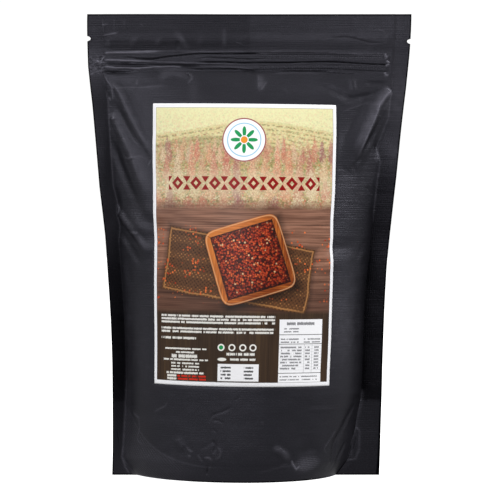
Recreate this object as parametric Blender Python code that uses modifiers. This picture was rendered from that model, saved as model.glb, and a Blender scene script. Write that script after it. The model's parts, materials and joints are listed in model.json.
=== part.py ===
"""A full, shut stand-up pouch of quinoa seeds: a zip bag of black film with a large label on its front.

Metres, +Z up, and the front faces -Y. The origin is on the floor, under the middle of the pouch.
A place on a film is given by its height and by its share of the way from the middle line to the fold
beside the seal: -1 and 1 are the two folds, and the seals lie beyond them.
"""

import math

import bmesh
import bpy

# The bag, sealed flat from two films and a folded bottom film
BAG_WIDTH = 0.180
BAG_HEIGHT = 0.255
SEAL_WIDTH = 0.010
FILM_PAIR = 0.0006
PANEL_HALF = BAG_WIDTH / 2 - SEAL_WIDTH
EDGE_SHARE = BAG_WIDTH / 2 / PANEL_HALF

# The seals widen towards the two bottom corners, left and right
CORNER_SEALS = {-1: 0.005, 1: 0.0145}
CORNER_HEIGHT = 0.045
CORNER_POWER = 1.2

# The seeds' bulge
BELLY_DEPTH = 0.041
BELLY_TOP = 0.222
BELLY_POWER = 3.0
FOOT_HEIGHT = 0.020
FOOT_DRAW_IN = 0.06
SIDE_TURN = math.radians(64.7)
SIDE_POWER = 2.4
EASE = 0.75
LEAN = 0.0019

# The press-to-close zip, seen as ridges through the film
ZIP_HALF = 0.0785
ZIP_RIDGES = (0.2252, 0.2296, 0.2340)
RIDGE_HALF = 0.0011
RIDGE_CREST = 0.0004
RIDGE_RISE = 0.0006

# Broad folds of the front film: start and end (across, height), half width and rise
FRONT_FOLDS = (
    ((-0.079, 0.222), (-0.055, 0.176), 0.009, 0.0016),
    ((-0.075, 0.197), (-0.054, 0.143), 0.010, 0.0018),
    ((-0.071, 0.148), (-0.055, 0.122), 0.009, 0.0012),
    ((0.078, 0.214), (0.058, 0.168), 0.010, 0.0026),
)

# The bottom film between the two skirts. Ends are shares across, and depths are shares of the half depth
GUSSET_LIFT = 0.004
GUSSET_END_RISE = 0.014
GUSSET_POWER = 1.5
PAD_END = 0.4
PAD_DEPTH = 0.5
GROOVE_DEPTH = 0.8
SKIRT_WALL_DEPTH = 0.94
CAVITY_END = 0.83

# The two tear notches: how far inside the edge their centres lie, and their heights left and right
NOTCH_RADIUS = 0.0013
NOTCH_INSET = 0.0006
NOTCH_HEIGHTS = {-1: 0.2415, 1: 0.2400}
CUTTER_DEPTH = 0.01
CUTTER_SIDES = 16

# The label
LABEL_WIDTH = 0.103
LABEL_HEIGHT = 0.153
LABEL_MIDDLE = (-0.003, 0.1283)
LABEL_TILT = math.radians(-0.55)
LABEL_GAP = 0.0003
LABEL_THICKNESS = 0.0003

# How finely each sheet is divided
PANEL_COLUMNS = 24
BELLY_ROWS = 24
TOP_BAND_ROW = 0.245
LABEL_CELLS = (12, 16)
SHARP_ANGLE = math.radians(40)
MERGE = 1e-6

BLACK_FILM = (0.024, 0.023, 0.028, 1.0)
FILM_ROUGHNESS = 0.45
PRINTED_PAPER = (0.45, 0.30, 0.21, 1.0)
PAPER_ROUGHNESS = 0.3


def side_chord(height):
    """Half the straight distance between the two seals, which shrinks as the film bulges."""
    share = max(1 - (height / BAG_HEIGHT) ** SIDE_POWER, 0.0)
    turn = SIDE_TURN * share**EASE
    return PANEL_HALF * math.sin(turn) / turn if turn > MERGE else PANEL_HALF


def belly(height):
    """How far the middle of a panel stands in front of the seals."""
    if height >= BELLY_TOP:
        return 0.0
    bulge = (1 - (height / BELLY_TOP) ** BELLY_POWER) ** EASE
    draw_in = FOOT_DRAW_IN * max(0.0, 1 - height / FOOT_HEIGHT) ** 2
    return BELLY_DEPTH * bulge * (1 - draw_in)


def on_seal(share):
    """Whether a place lies on a side seal or on the fold beside it."""
    return abs(share) > 1 - MERGE


def section(share, height):
    """Sideways place, depth and turn of the film. Each half of a panel is a circular arc out to its fold."""
    end = -1 if share < 0 else 1
    edge = side_chord(height) + SEAL_WIDTH
    corner = CORNER_SEALS[end] * max(0.0, 1 - height / CORNER_HEIGHT) ** CORNER_POWER
    fold = side_chord(height) - corner
    if on_seal(share):
        beyond = (abs(share) - 1) / (EDGE_SHARE - 1)
        return end * (fold + beyond * (edge - fold)), 0.0, 0.0
    end_turn = 2 * math.atan2(belly(height), fold)
    if end_turn < MERGE:
        return share * fold, 0.0, 0.0
    radius = fold / math.sin(end_turn)
    turn = end_turn * share
    return radius * math.sin(turn), radius * (math.cos(turn) - math.cos(end_turn)), turn


def zip_relief(share, height):
    """Rise of the zip's ridges."""
    if abs(share) * PANEL_HALF > ZIP_HALF + MERGE:
        return 0.0
    slope = RIDGE_HALF - RIDGE_CREST
    shares = [(RIDGE_HALF - abs(height - ridge)) / slope for ridge in ZIP_RIDGES]
    return RIDGE_RISE * min(max(*shares, 0.0), 1.0)


def fold_relief(share, height):
    """Rise of the broad folds, each a rounded ridge that dies out at its ends."""
    across, rise = share * PANEL_HALF, 0.0
    for (u0, z0), (u1, z1), half_width, fold_rise in FRONT_FOLDS:
        length = math.hypot(u1 - u0, z1 - z0)
        along = ((across - u0) * (u1 - u0) + (height - z0) * (z1 - z0)) / length
        off = ((across - u0) * (z1 - z0) - (height - z0) * (u1 - u0)) / length
        if 0 < along < length and abs(off) < half_width:
            swell = math.sin(math.pi * along / length)
            rise += fold_rise * swell * (1 - (off / half_width) ** 2) ** 2
    return rise


def film_point(share, height, side, lift=0.0):
    """A point on the outside of the film. Side is -1 at the front and 1 at the back."""
    x, depth, turn = section(share, height)
    stand = FILM_PAIR / 2 + zip_relief(share, height) + lift
    if side < 0 and not on_seal(share):
        stand += fold_relief(share, height)
    lean = -LEAN * (1 - height / BAG_HEIGHT)
    return (
        x + lean + stand * math.sin(turn),
        side * (depth + stand * math.cos(turn)),
        height,
    )


def gusset_height(share, depth_share):
    """Height of the underside: a flat pad in the middle, a groove inside each skirt, and rising ends."""
    if abs(share) > CAVITY_END:
        return 0.0
    end = max(0.0, (abs(share) - PAD_END) / (1 - PAD_END))
    groove = min(max((depth_share - PAD_DEPTH) / (GROOVE_DEPTH - PAD_DEPTH), 0.0), 1.0)
    return GUSSET_END_RISE * end**GUSSET_POWER + GUSSET_LIFT * groove


def underside_point(share, level):
    """A point of the underside. Level is (share of the half depth, whether it is raised, side)."""
    depth_share, raised, side = level
    x, depth, _ = film_point(share, 0.0, side)
    if on_seal(share):
        return (x, depth, 0.0)
    return (x, depth * depth_share, gusset_height(share, depth_share) if raised else 0.0)


def film_columns():
    """Shares across: the seals' edges and folds, the zip's ends and even steps between those."""
    zip_end = ZIP_HALF / PANEL_HALF
    inner = [zip_end * (2 * i / PANEL_COLUMNS - 1) for i in range(PANEL_COLUMNS + 1)]
    return [-EDGE_SHARE, -1.0, *inner, 1.0, EDGE_SHARE]


def film_rows():
    """Heights: even steps up the belly, the foot and crest of each zip ridge, and the top band."""
    belly_rows = [BELLY_TOP * i / BELLY_ROWS for i in range(BELLY_ROWS + 1)]
    offsets = (-RIDGE_HALF, -RIDGE_CREST, RIDGE_CREST, RIDGE_HALF)
    zip_rows = [ridge + offset for ridge in ZIP_RIDGES for offset in offsets]
    return [*belly_rows, *zip_rows, TOP_BAND_ROW, BAG_HEIGHT]


def underside_levels():
    """Rows of the underside from the front skirt to the back one."""
    half = [
        (1.0, False),
        (SKIRT_WALL_DEPTH, False),
        (SKIRT_WALL_DEPTH, True),
        (GROOVE_DEPTH, True),
        (PAD_DEPTH, True),
    ]
    front = [(depth, raised, -1) for depth, raised in half]
    back = [(depth, raised, 1) for depth, raised in reversed(half)]
    return front + back


def add_sheet(mesh, columns, rows, place):
    """Adds a grid to the mesh, with the vertex of each column and row put where place says."""
    size = (len(columns) - 1, len(rows) - 1)
    made = bmesh.ops.create_grid(mesh, x_segments=size[0], y_segments=size[1], size=0.5)
    for vertex in made["verts"]:
        column = columns[round((vertex.co.x + 0.5) * size[0])]
        row = rows[round((vertex.co.y + 0.5) * size[1])]
        vertex.co = place(column, row)


def new_object(name, mesh, collection, material):
    """Turns a bmesh into a smooth-shaded object, with one material or none."""
    data = bpy.data.meshes.new(name)
    mesh.to_mesh(data)
    mesh.free()
    data.shade_smooth()
    data.set_sharp_from_angle(angle=SHARP_ANGLE)
    if material:
        data.materials.append(material)
    made = bpy.data.objects.new(name, data)
    collection.objects.link(made)
    return made


def finish_material(name, colour, roughness):
    """A Principled material with one colour."""
    material = bpy.data.materials.new(name)
    material.use_nodes = True
    shader = material.node_tree.nodes["Principled BSDF"]
    shader.inputs["Base Color"].default_value = colour
    shader.inputs["Roughness"].default_value = roughness
    shader.inputs["Metallic"].default_value = 0.0
    return material


def make_pouch(collection):
    """The shut bag as one solid: both panels, the underside, and the thin top and side edges."""
    columns, rows = film_columns(), film_rows()
    sides = (-1, 1)
    mesh = bmesh.new()
    for side in sides:
        add_sheet(mesh, columns, rows, lambda u, z, s=side: film_point(u, z, s))
    add_sheet(mesh, columns, underside_levels(), underside_point)
    add_sheet(mesh, columns, sides, lambda u, s: film_point(u, BAG_HEIGHT, s))
    for end in (-EDGE_SHARE, EDGE_SHARE):
        add_sheet(mesh, sides, rows, lambda s, z, u=end: film_point(u, z, s))
    bmesh.ops.remove_doubles(mesh, verts=mesh.verts, dist=MERGE)
    bmesh.ops.dissolve_degenerate(mesh, edges=mesh.edges, dist=MERGE)
    bmesh.ops.recalc_face_normals(mesh, faces=mesh.faces)
    film = finish_material("black film", BLACK_FILM, FILM_ROUGHNESS)
    return new_object("pouch", mesh, collection, film)


def cut_notches(pouch, cutters):
    """Cuts a small round tear notch into each side seal, below the top edge."""
    for side, height in NOTCH_HEIGHTS.items():
        edge = film_point(side * EDGE_SHARE, height, -1)[0]
        mesh = bmesh.new()
        bmesh.ops.create_cone(
            mesh,
            cap_ends=True,
            segments=CUTTER_SIDES,
            radius1=NOTCH_RADIUS,
            radius2=NOTCH_RADIUS,
            depth=CUTTER_DEPTH,
        )
        cutter = new_object(f"notch cutter {side}", mesh, cutters, None)
        cutter.location = (edge - side * NOTCH_INSET, 0.0, height)
        cutter.rotation_euler = (math.pi / 2, 0.0, 0.0)
        cutter.hide_render = True
        cutter.display_type = "WIRE"
        cut = pouch.modifiers.new(f"notch {side}", "BOOLEAN")
        cut.operation = "DIFFERENCE"
        cut.object = cutter


def label_point(a, b):
    """A point on the back of the label, at a across and b up from its middle before it is turned."""
    across = LABEL_MIDDLE[0] + a * math.cos(LABEL_TILT) - b * math.sin(LABEL_TILT)
    height = LABEL_MIDDLE[1] + a * math.sin(LABEL_TILT) + b * math.cos(LABEL_TILT)
    return film_point(across / PANEL_HALF, height, -1, LABEL_GAP)


def make_label(collection):
    """The printed label, one thin sheet that follows the front film."""
    columns = [LABEL_WIDTH * (i / LABEL_CELLS[0] - 0.5) for i in range(LABEL_CELLS[0] + 1)]
    rows = [LABEL_HEIGHT * (i / LABEL_CELLS[1] - 0.5) for i in range(LABEL_CELLS[1] + 1)]
    mesh = bmesh.new()
    add_sheet(mesh, columns, rows, label_point)
    material = finish_material("printed paper", PRINTED_PAPER, PAPER_ROUGHNESS)
    label = new_object("label", mesh, collection, material)
    thickness = label.modifiers.new("paper", "SOLIDIFY")
    thickness.thickness = LABEL_THICKNESS
    thickness.offset = 1.0
    return label


def main():
    for leftover in list(bpy.data.objects):
        bpy.data.objects.remove(leftover)
    parts = bpy.data.collections.new("stand-up pouch")
    cutters = bpy.data.collections.new("cutters")
    for collection in (parts, cutters):
        bpy.context.scene.collection.children.link(collection)
    pouch = make_pouch(parts)
    cut_notches(pouch, cutters)
    make_label(parts)


main()
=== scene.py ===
"""The looks of a full, shut stand-up pouch of quinoa seeds: creased black film and a glossy printed label.

Metres, +Z up, and the front faces -Y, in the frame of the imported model. A place on the film is given by
its distance across from the middle line, as on the flat bag, and by its height. The lists of folds give
both in millimetres. A place's share is 1 at the fold beside the right seal and -1 at the left one.
"""

import json
import math
from typing import NamedTuple

import bmesh
import bpy
import numpy as np
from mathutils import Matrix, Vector, noise

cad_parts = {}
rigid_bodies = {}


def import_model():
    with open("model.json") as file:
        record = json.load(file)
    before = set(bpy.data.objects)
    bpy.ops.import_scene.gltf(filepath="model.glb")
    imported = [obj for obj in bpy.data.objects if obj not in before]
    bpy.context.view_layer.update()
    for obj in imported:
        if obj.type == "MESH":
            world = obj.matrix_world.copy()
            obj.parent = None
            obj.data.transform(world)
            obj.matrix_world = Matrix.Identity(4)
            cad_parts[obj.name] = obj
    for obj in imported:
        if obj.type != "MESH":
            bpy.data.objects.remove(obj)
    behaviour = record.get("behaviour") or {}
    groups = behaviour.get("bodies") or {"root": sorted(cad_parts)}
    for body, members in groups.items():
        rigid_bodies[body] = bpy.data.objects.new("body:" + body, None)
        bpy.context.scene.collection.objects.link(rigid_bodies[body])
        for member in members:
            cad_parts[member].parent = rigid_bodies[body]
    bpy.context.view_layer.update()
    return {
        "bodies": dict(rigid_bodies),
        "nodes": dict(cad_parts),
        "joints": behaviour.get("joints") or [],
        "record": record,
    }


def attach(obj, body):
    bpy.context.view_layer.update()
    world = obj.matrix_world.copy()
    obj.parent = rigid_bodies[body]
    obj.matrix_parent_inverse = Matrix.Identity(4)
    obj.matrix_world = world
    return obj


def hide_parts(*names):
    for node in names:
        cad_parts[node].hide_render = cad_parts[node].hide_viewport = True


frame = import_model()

bl_info = {
    "name": "Stand-up Pouch",
    "version": (1, 0, 0),
    "blender": (4, 5, 0),
    "location": "View3D > Sidebar > Pouch",
    "description": "Builds a full zip pouch of black film with a printed label, and a plain studio",
    "category": "Add Mesh",
}

MM = 0.001
LEFT, RIGHT = -1, 1
FRONT, BACK = -1, 1

# The bag, sealed flat from two films and a folded bottom film
BAG_WIDTH = 0.180
BAG_HEIGHT = 0.255
SEAL_WIDTH = 0.010
FILM_PAIR = 0.0006
PANEL_HALF = BAG_WIDTH / 2 - SEAL_WIDTH
EDGE_SHARE = BAG_WIDTH / 2 / PANEL_HALF

# The seeds' bulge
BELLY_DEPTH = 0.0405
BELLY_TOP = 0.2235
BELLY_POWER = 3.0
BELLY_EASE = 0.84
FOOT_HEIGHT = 0.020
FOOT_DRAW_IN = 0.06
SIDE_TURN = math.radians(64.7)
SIDE_POWER = 2.4
EASE = 0.75
LEAN = 0.0019

# The real width of each side seal, as (height, width) in mm
SEAL_PROFILES = {
    LEFT: (
        (0, 14), (1, 10), (4, 8), (10, 5.5), (17, 6.2), (35, 7.4), (52, 7.7), (130, 7.6), (160, 7.9),
        (179, 8), (209, 9.2), (222, 8), (232, 9), (255, 9),
    ),
    RIGHT: (
        (0, 24.5), (9, 18), (27, 14.5), (46, 11.3), (97, 11.2), (120, 10.2), (143, 10.5), (165, 10.8),
        (187, 10), (198, 8.6), (213, 8.1), (225, 9), (255, 9),
    ),
}

# How far in each fold line wavers from that width, as (height, distance) in mm
FOLD_WAVERS = {
    LEFT: ((0, 0), (130, 0), (138, 1.4), (145, 0.1), (151, 1.4), (160, 0), (255, 0)),
    RIGHT: ((0, 0), (150, 0), (174, -0.4), (181.5, 2.6), (188, 1), (198, -0.4), (208, 0), (255, 0)),
}
WAVER_REACH = 0.08

# How far each side edge stands out from the even outline, as (height, distance) in mm
EDGE_SHIFTS = {
    LEFT: (
        (0, 0.45), (15, 0.15), (60, -0.2), (85, -0.15), (110, 0.25), (133, 0.5), (160, 1.5), (180, 1.3),
        (206, 1.05), (226, 1.4), (240, 0.7), (255, 0),
    ),
    RIGHT: (
        (0, -0.55), (15, -0.25), (45, -0.1), (75, -0.35), (95, -0.65), (117, -0.9), (140, -0.4), (165, 0),
        (215, 0.05), (233, -0.15), (255, -0.75),
    ),
}

# How far back each side edge is bent from the middle plane, as (height, distance) in mm
FIN_TURNS = {
    LEFT: (
        (0, 0), (12, -1.0), (32, -3.4), (60, -5.2), (112, -5.0), (145, -3.8), (190, -3.4), (214, -2.2),
        (235, 0), (255, 0),
    ),
    RIGHT: (
        (0, 0), (12, -1.2), (34, -3.4), (62, -5.0), (140, -5.2), (165, -4.0), (190, 0.4), (206, 1.4),
        (225, 0.8), (240, 0.1), (255, 0),
    ),
}

# Each tear notch: its height in mm
NOTCHES = {LEFT: 241.5, RIGHT: 240.0}
NOTCH_HALF = 1.35
NOTCH_DEPTH = 1.9

# The zip's outer two lines in mm: heights at places across. The flange lies between them
ZIP_ACROSS = (-80, -55, -28, 0, 28, 45, 77)
ZIP_UPPER = (233.9, 233.9, 234.1, 234.7, 234.7, 234.1, 231.9)
ZIP_LOWER = (225.5, 225.8, 225.8, 224.2, 224.7, 224.7, 223.1)
ZIP_ENDS = (-79.5, 78.0)
FLANGE_RISE = 0.35

# Paler places of the front in mm, painted highlights where light falls: middle, radii and strength
PAINTED_HIGHLIGHT_SPOTS = (
    ((72, 249), (34, 10), 0.13), ((86, 207), (8, 22), 0.26), ((-60, 250), (26, 4), 0.03),
    ((60, 118), (12, 10), 0.04), ((58, 88), (12, 28), 0.26), ((-44, 10), (26, 7), 0.09),
    ((36, 9), (6, 3.4), 0.35), ((-86, 226), (5, 7), 0.16), ((-86, 247), (5, 8), 0.06),
    ((-77, 30), (3, 30), 0.14), ((-76, 95), (3, 35), 0.08), ((6.5, 216.5), (2.2, 3.2), 0.3),
    ((-31, 212), (2.5, 6), 0.10), ((50, 240), (30, 4), 0.08), ((-62, 75), (10, 30), 0.06),
    ((30, 214), (22, 5), 0.05),
)

# The seal of the bottom film, which curves across both panels, in mm
GUSSET_SEAL_LOW = 7.7
GUSSET_SEAL_RISE = 34.0
GUSSET_SEAL_POWER = 3.0
GUSSET_TOP = 42.0

# The top seal and the slack band under it, in mm
TOP_SEAL = 244.3
SLACK_FOOT = 235.0
SLACK_RISE = 0.45

# The underside. Depths are shares of the half depth, and ends are shares across
SKIRT_WALL = 0.975
GUSSET_LIFT = 0.004
GUSSET_END_RISE = 0.014
GUSSET_POWER = 1.5
PAD_END = 0.4
PAD_DEPTH = 0.5
GROOVE_DEPTH = 0.8
CAVITY_END = 0.83
GUSSET_CREASE = 0.0008
GUSSET_CREASE_HALF = 0.05

# The label
LABEL_WIDTH = 0.103
LABEL_HEIGHT = 0.153
LABEL_MIDDLE = (-0.003, 0.1283)
LABEL_TILT = math.radians(-0.55)
LABEL_GAP = 0.00006
LABEL_THICKNESS = 0.00016
LABEL_CELLS = (102, 152)

# How far in mm its side edges stand to the right of a straight line, as (height, shift) in mm
LABEL_EDGES = {
    LEFT: (
        (52, 0.5), (70, 0.3), (108, 0.1), (125, 0.5), (141, 0.2), (157, 0.3), (173, 0.0), (189, 0.4),
        (205, 0.55),
    ),
    RIGHT: (
        (52, 0.0), (60, 0.15), (77, 0.75), (93, 0.85), (109, 0.8), (125, 0.15), (141, -0.4), (157, 0.0),
        (173, -0.4), (189, -0.65), (205, -1.4),
    ),
}

# How finely the film is divided: steps, stretches of height in mm with their steps, and shares of depth
FIN_STEPS = 8
PANEL_STEPS = 92
FILM_STRETCHES = ((0, 222, 122), (222, 235.6, 26), (235.6, 238.4, 2), (238.4, 243.2, 8), (243.2, 255, 10))
UNDER_LEVELS = (
    1, SKIRT_WALL + 0.0005, SKIRT_WALL - 0.0005, 0.955, 0.92, 0.88, 0.84, 0.8, 0.75, 0.7, 0.65,
    0.6, 0.55, 0.5, 0.4, 0.3, 0.2, 0.1, 0.05, 0.025,
)
MERGE = 2e-6
FLAT_TURN = 1e-5
SHARP_ANGLE = math.radians(50)

# Where the film's mesh is finer, in mm
WHITE_HALF = 0.5
FINE_REACH = 1.25
COARSE_INSIDE = -12.0
WELD_SPOT = ((-89.8, 220.5), (-79.4, 234.0))

# The film's smooth waves in mm: size, height, and a seed for the small ones
BROAD_WAVE = (27, 0.30)
SMALL_WAVES = ((9, 0.09, 5.1), (3.4, 0.035, 8.3))
WELD_KNOBS = 1.1

# Where the pale fold lines end, in mm: film whitened by bending with a painted highlight
FOLD_TOP = 214


class Crease(NamedTuple):
    """A fold along a path in mm. Rise is negative for a valley, and reach is its width on either side.

    White is how pale its line is, partly film whitened by bending and partly a painted highlight; the last
    number is a painted highlight over its whole reach.
    """

    path: tuple
    rise: float
    reach: tuple
    crisp: float = 1.0
    white: float = 0.0
    fade: tuple = (0.25, 0.35)
    painted_highlight: float = 0.0


# Broad folds of the front, the ones that the solid has too
FRONT_FOLDS = (
    ((-79, 222), (-55, 176), 9, 1.6),
    ((-75, 197), (-54, 143), 10, 1.8),
    ((-71, 148), (-55, 122), 9, 1.2),
    ((78, 214), (58, 168), 10, 2.6),
)

# How pale each side's fold line is, film whitened by bending with a painted highlight, as (height, strength)
# in mm
FOLD_WEAR_AND_HIGHLIGHT = {
    LEFT: ((0, 0.8), (45, 0.8), (60, 0.3), (120, 0.3), (150, 0.5), (214, 0.5)),
    RIGHT: ((0, 0.1), (22, 0.2), (46, 0.6), (48, 0.0), (138, 0.0), (146, 0.45), (214, 0.5)),
}

# Soft folds that bend the label's edges with the film
LABEL_FOLDS = (
    Crease(((40, 126.5), (70, 127)), -0.5, (6, 6), 0.0),
    Crease(((42, 117), (68, 117.5)), 0.35, (6, 6), 0.0),
    Crease(((-76, 133), (-46, 129)), -0.6, (6, 6), 0.0),
    Crease(((-62, 147), (-44, 142)), 0.4, (6, 6), 0.0),
)

# The zip's ridges and grooves, from the top down; the white of the bright ribs is a painted highlight
ZIP_CREASES = (
    Crease(((-80, 233.4), (-73, 233.6), (-67.5, 233.7), (-56.5, 234.2), (-49, 234.4), (-43, 234.6)), 0.6,
           (0.8, 0.9), white=2.4, fade=(0.01, 0.7)),
    Crease(((-50, 234.4), (-30, 234.2), (6, 234.2), (28, 234.2)), 0.3, (0.6, 0.6), white=0.28,
           fade=(0.2, 0.2)),
    Crease(((6, 234.1), (28, 234.2), (50, 233.6), (77, 232.6)), 0.3, (1.2, 0.8), 0.5, 0.10, (0.2, 0.05),
           0.08),
    Crease(((-72, 231.6), (-61.2, 230.3), (-53.8, 230.0), (-48.9, 230.8), (-42.8, 231.7), (-36.6, 232.3),
           (-30.5, 232.9), (-26, 233.3), (-12, 233.1), (3, 233.3), (7, 231.8)), -0.7, (0.65, 0.65), 0.7,
           fade=(0.2, 0.05)),
    Crease(((-46.5, 233.3), (-34.9, 233.7)), -0.4, (0.6, 0.6), 0.7),
    Crease(((-30, 230.2), (-22, 231.0), (-10, 230.5), (0, 230.1), (8, 230.5), (17, 230.6)), -0.35,
           (0.6, 0.6), 0.7),
    Crease(((7, 232.1), (28, 232.4), (50, 231.7), (77, 230.9)), -0.2, (1.4, 1.4), 0.3, fade=(0.1, 0.02)),
    Crease(((-80, 229.6), (-68, 229.1), (-57, 228.8), (-50, 228.4)), 0.6, (0.7, 0.7), white=2.2,
           fade=(0.01, 0.7)),
    Crease(((-62, 229.0), (-48, 228.3), (-30, 227.7), (-8, 227.3), (8, 227.2)), 0.3, (0.6, 0.6),
           white=0.35),
    Crease(((-79, 228.6), (-62, 228.1), (-50, 227.4)), -0.4, (0.6, 0.6), 0.7, fade=(0.05, 0.35)),
    Crease(((-79, 227.2), (-60, 226.9), (-48, 226.8), (-30, 226.7), (-10, 226.3)), -0.55, (0.75, 0.75),
           0.6, fade=(0.05, 0.4)),
    Crease(((-31, 228.5), (-12, 228.4), (-5, 228.0), (6, 228.2), (12, 228.2), (25, 228.3), (37, 228.6),
           (46.5, 228.6), (55.7, 228.1), (65, 227.4), (77, 226.9)), -0.8, (0.62, 0.62), 0.8,
           fade=(0.1, 0.01)),
    Crease(((22, 227.5), (40, 227.8), (55, 227.3), (77, 226.1)), 0.25, (0.6, 0.6), white=0.2,
           fade=(0.1, 0.02)),
    Crease(((-80, 225.9), (-73, 225.2), (-66, 225.1), (-61, 224.9), (-53, 225.6), (-42, 226.0),
           (-36, 225.6)), 0.6, (0.7, 0.7), white=1.7, fade=(0.01, 0.1)),
    Crease(((-34, 225.7), (-20, 225.4), (-10, 225.6), (0, 224.7), (6, 223.8)), 0.3, (0.6, 0.6),
           white=0.3),
    Crease(((-74, 224.4), (-60, 224.0)), -0.35, (0.6, 0.6), 0.7),
    Crease(((-36, 224.8), (-24, 224.5), (-5, 224.5), (0, 223.7), (10, 222.6)), -0.5, (0.62, 0.62), 0.8),
    Crease(((10, 223.0), (25, 223.4), (41, 223.4), (53, 222.2), (64, 221.4), (77, 221.3)), -0.5,
           (0.6, 0.6), 0.8, fade=(0.1, 0.02)),
    Crease(((10, 222.3), (25, 222.7), (45, 222.5)), 0.2, (0.5, 0.5), white=0.2),
    Crease(((-81, 222.9), (-70, 222.6), (-60, 222.9)), -0.9, (1.2, 1.2), 0.5, fade=(0.05, 0.6)),
)

# Creases of the front, from the top down
TOP_CREASES = (
    Crease(((-80.3, 242.9), (-75.8, 244.0), (-71.4, 244.6)), 0.30, (0.9, 0.9), white=0.5),
    Crease(((-80.5, 253), (-80, 243.5)), 0.10, (0.7, 0.7), white=0.12),
    Crease(((-74, 253), (-74, 244.8)), 0.10, (0.7, 0.7), white=0.1),
    Crease(((-68.5, 252), (-68.3, 245)), 0.08, (0.7, 0.7), white=0.06),
    Crease(((-81, 249), (-77, 249.4)), 0.15, (0.7, 0.7), white=0.3),
    Crease(((-80.5, 247), (-79, 249.5)), 0.15, (0.7, 0.7), white=0.25),
    Crease(((-60, 249.5), (-58, 248)), 0.12, (0.7, 0.7), white=0.12),
    Crease(((-39.8, 240.5), (-39.2, 235.4)), -0.35, (1.3, 1.1), 0.4),
    Crease(((-42.0, 247.5), (-37, 241), (-32.8, 234.2)), 0.14, (2.4, 2.8), 0.0, painted_highlight=0.24,
           fade=(0.5, 0.4)),
    Crease(((-47.0, 244), (-52.5, 236.0)), 0.08, (2.2, 2.2), 0.0, painted_highlight=0.10, fade=(0.5, 0.4)),
    Crease(((-60, 244), (-67, 236.0)), 0.08, (2.2, 2.2), 0.0, painted_highlight=0.12, fade=(0.5, 0.4)),
    Crease(((-77.8, 242), (-77.3, 236.0)), 0.10, (1.6, 1.6), 0.0, painted_highlight=0.20, fade=(0.5, 0.4)),
    Crease(((-25.0, 245), (-29, 235.5)), 0.05, (2.2, 2.2), 0.0, painted_highlight=0.07, fade=(0.5, 0.4)),
    Crease(((-14, 249), (-14, 235.8)), 0.05, (1.7, 1.7), 0.0, painted_highlight=0.16, fade=(0.4, 0.3)),
    Crease(((-8, 239.4), (-3, 237.6)), 0.15, (0.9, 0.9), white=0.1),
    Crease(((44, 242), (52.4, 242.4), (58.5, 241.3), (66.4, 239.1), (75.8, 238.8)), -0.45, (1.6, 1.0)),
    Crease(((70.8, 246.8), (75.4, 244.6)), 0.14, (0.7, 0.7), white=0.2),
)
# Short ridges where the zip's ends are welded, painted with highlights along them
ZIP_END_CREASES = (
    Crease(((75.4, 233.3), (76.5, 230.3)), 0.35, (0.7, 0.7), white=1.1, fade=(0.1, 0.1)),
    Crease(((76.4, 229.2), (78.4, 227.9)), 0.35, (0.7, 0.7), white=1.3, fade=(0.1, 0.1)),
    Crease(((76.1, 226.5), (78.4, 227.3)), 0.35, (0.7, 0.7), white=1.2, fade=(0.1, 0.1)),
    Crease(((76.0, 223.0), (76.5, 221.5), (78.2, 221.1)), 0.35, (0.7, 0.7), white=1.2, fade=(0.1, 0.1)),
    Crease(((-80.0, 231.4), (-81.5, 228.9), (-84.5, 228.4)), 0.4, (0.9, 0.9), white=0.9, fade=(0.1, 0.1)),
    Crease(((-84.2, 229.6), (-82.4, 227.4), (-80.6, 228.6)), 0.4, (0.8, 0.8), white=0.9, fade=(0.1, 0.1)),
    Crease(((-89.5, 221.4), (-84, 223.2), (-80, 224.0)), 0.25, (0.9, 0.9), white=0.4),
)
SHOULDER_CREASES = (
    Crease(((-80.2, 222), (-76.6, 214.0), (-77.4, 205)), 0.5, (1.2, 1.2), white=0.55),
    Crease(((-77, 213.4), (-68, 214.6), (-62, 214.2), (-52, 215.1), (-43, 215.8)), 0.26, (1.6, 1.4),
           white=0.24, painted_highlight=0.03),
    Crease(((-63, 215.5), (-61.0, 219.6)), 0.20, (0.9, 0.9), white=0.28),
    Crease(((-50, 217.5), (-46, 221.4), (-41.5, 222.6), (-32, 219.4), (-30.6, 218)), 0.35, (4.2, 2.2),
           0.5, 0.0, painted_highlight=0.2),
    Crease(((-32.2, 223), (-31.6, 219.2), (-34.4, 216.1)), 0.42, (0.9, 1.8), white=0.3),
    Crease(((-34.2, 222.8), (-32.8, 220.4)), -0.7, (1.1, 1.1), 0.7),
    Crease(((4.7, 223), (5.3, 211.4)), 0.42, (3.6, 0.9), white=0.14, painted_highlight=0.10),
    Crease(((5.3, 211.4), (10.3, 218.4)), 0.36, (3.6, 0.9), white=0.2),
    Crease(((1.5, 223), (5.5, 217)), 0.3, (2.5, 1.5), 0.5),
    Crease(((18, 214), (24, 210)), 0.18, (1.6, 1.6), 0.5, 0.08),
    Crease(((33, 217), (45, 213.9), (51.2, 211.1), (55.3, 208.9), (58.2, 208.4), (65, 209.6),
           (70.7, 210.8), (78, 214.2)), -0.95, (2.2, 4.2), 0.6),
    Crease(((64, 217), (79.5, 215.8)), -0.6, (2.2, 1.6), 0.6),
    Crease(((57.5, 221), (58.5, 211)), 0.5, (2.4, 2.8), 0.4),
    Crease(((50.9, 199.9), (71, 207.4)), 0.2, (1.2, 1.2), white=0.14),
    Crease(((50, 204), (66, 209)), 0.18, (1.4, 1.4), white=0.05),
)
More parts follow.
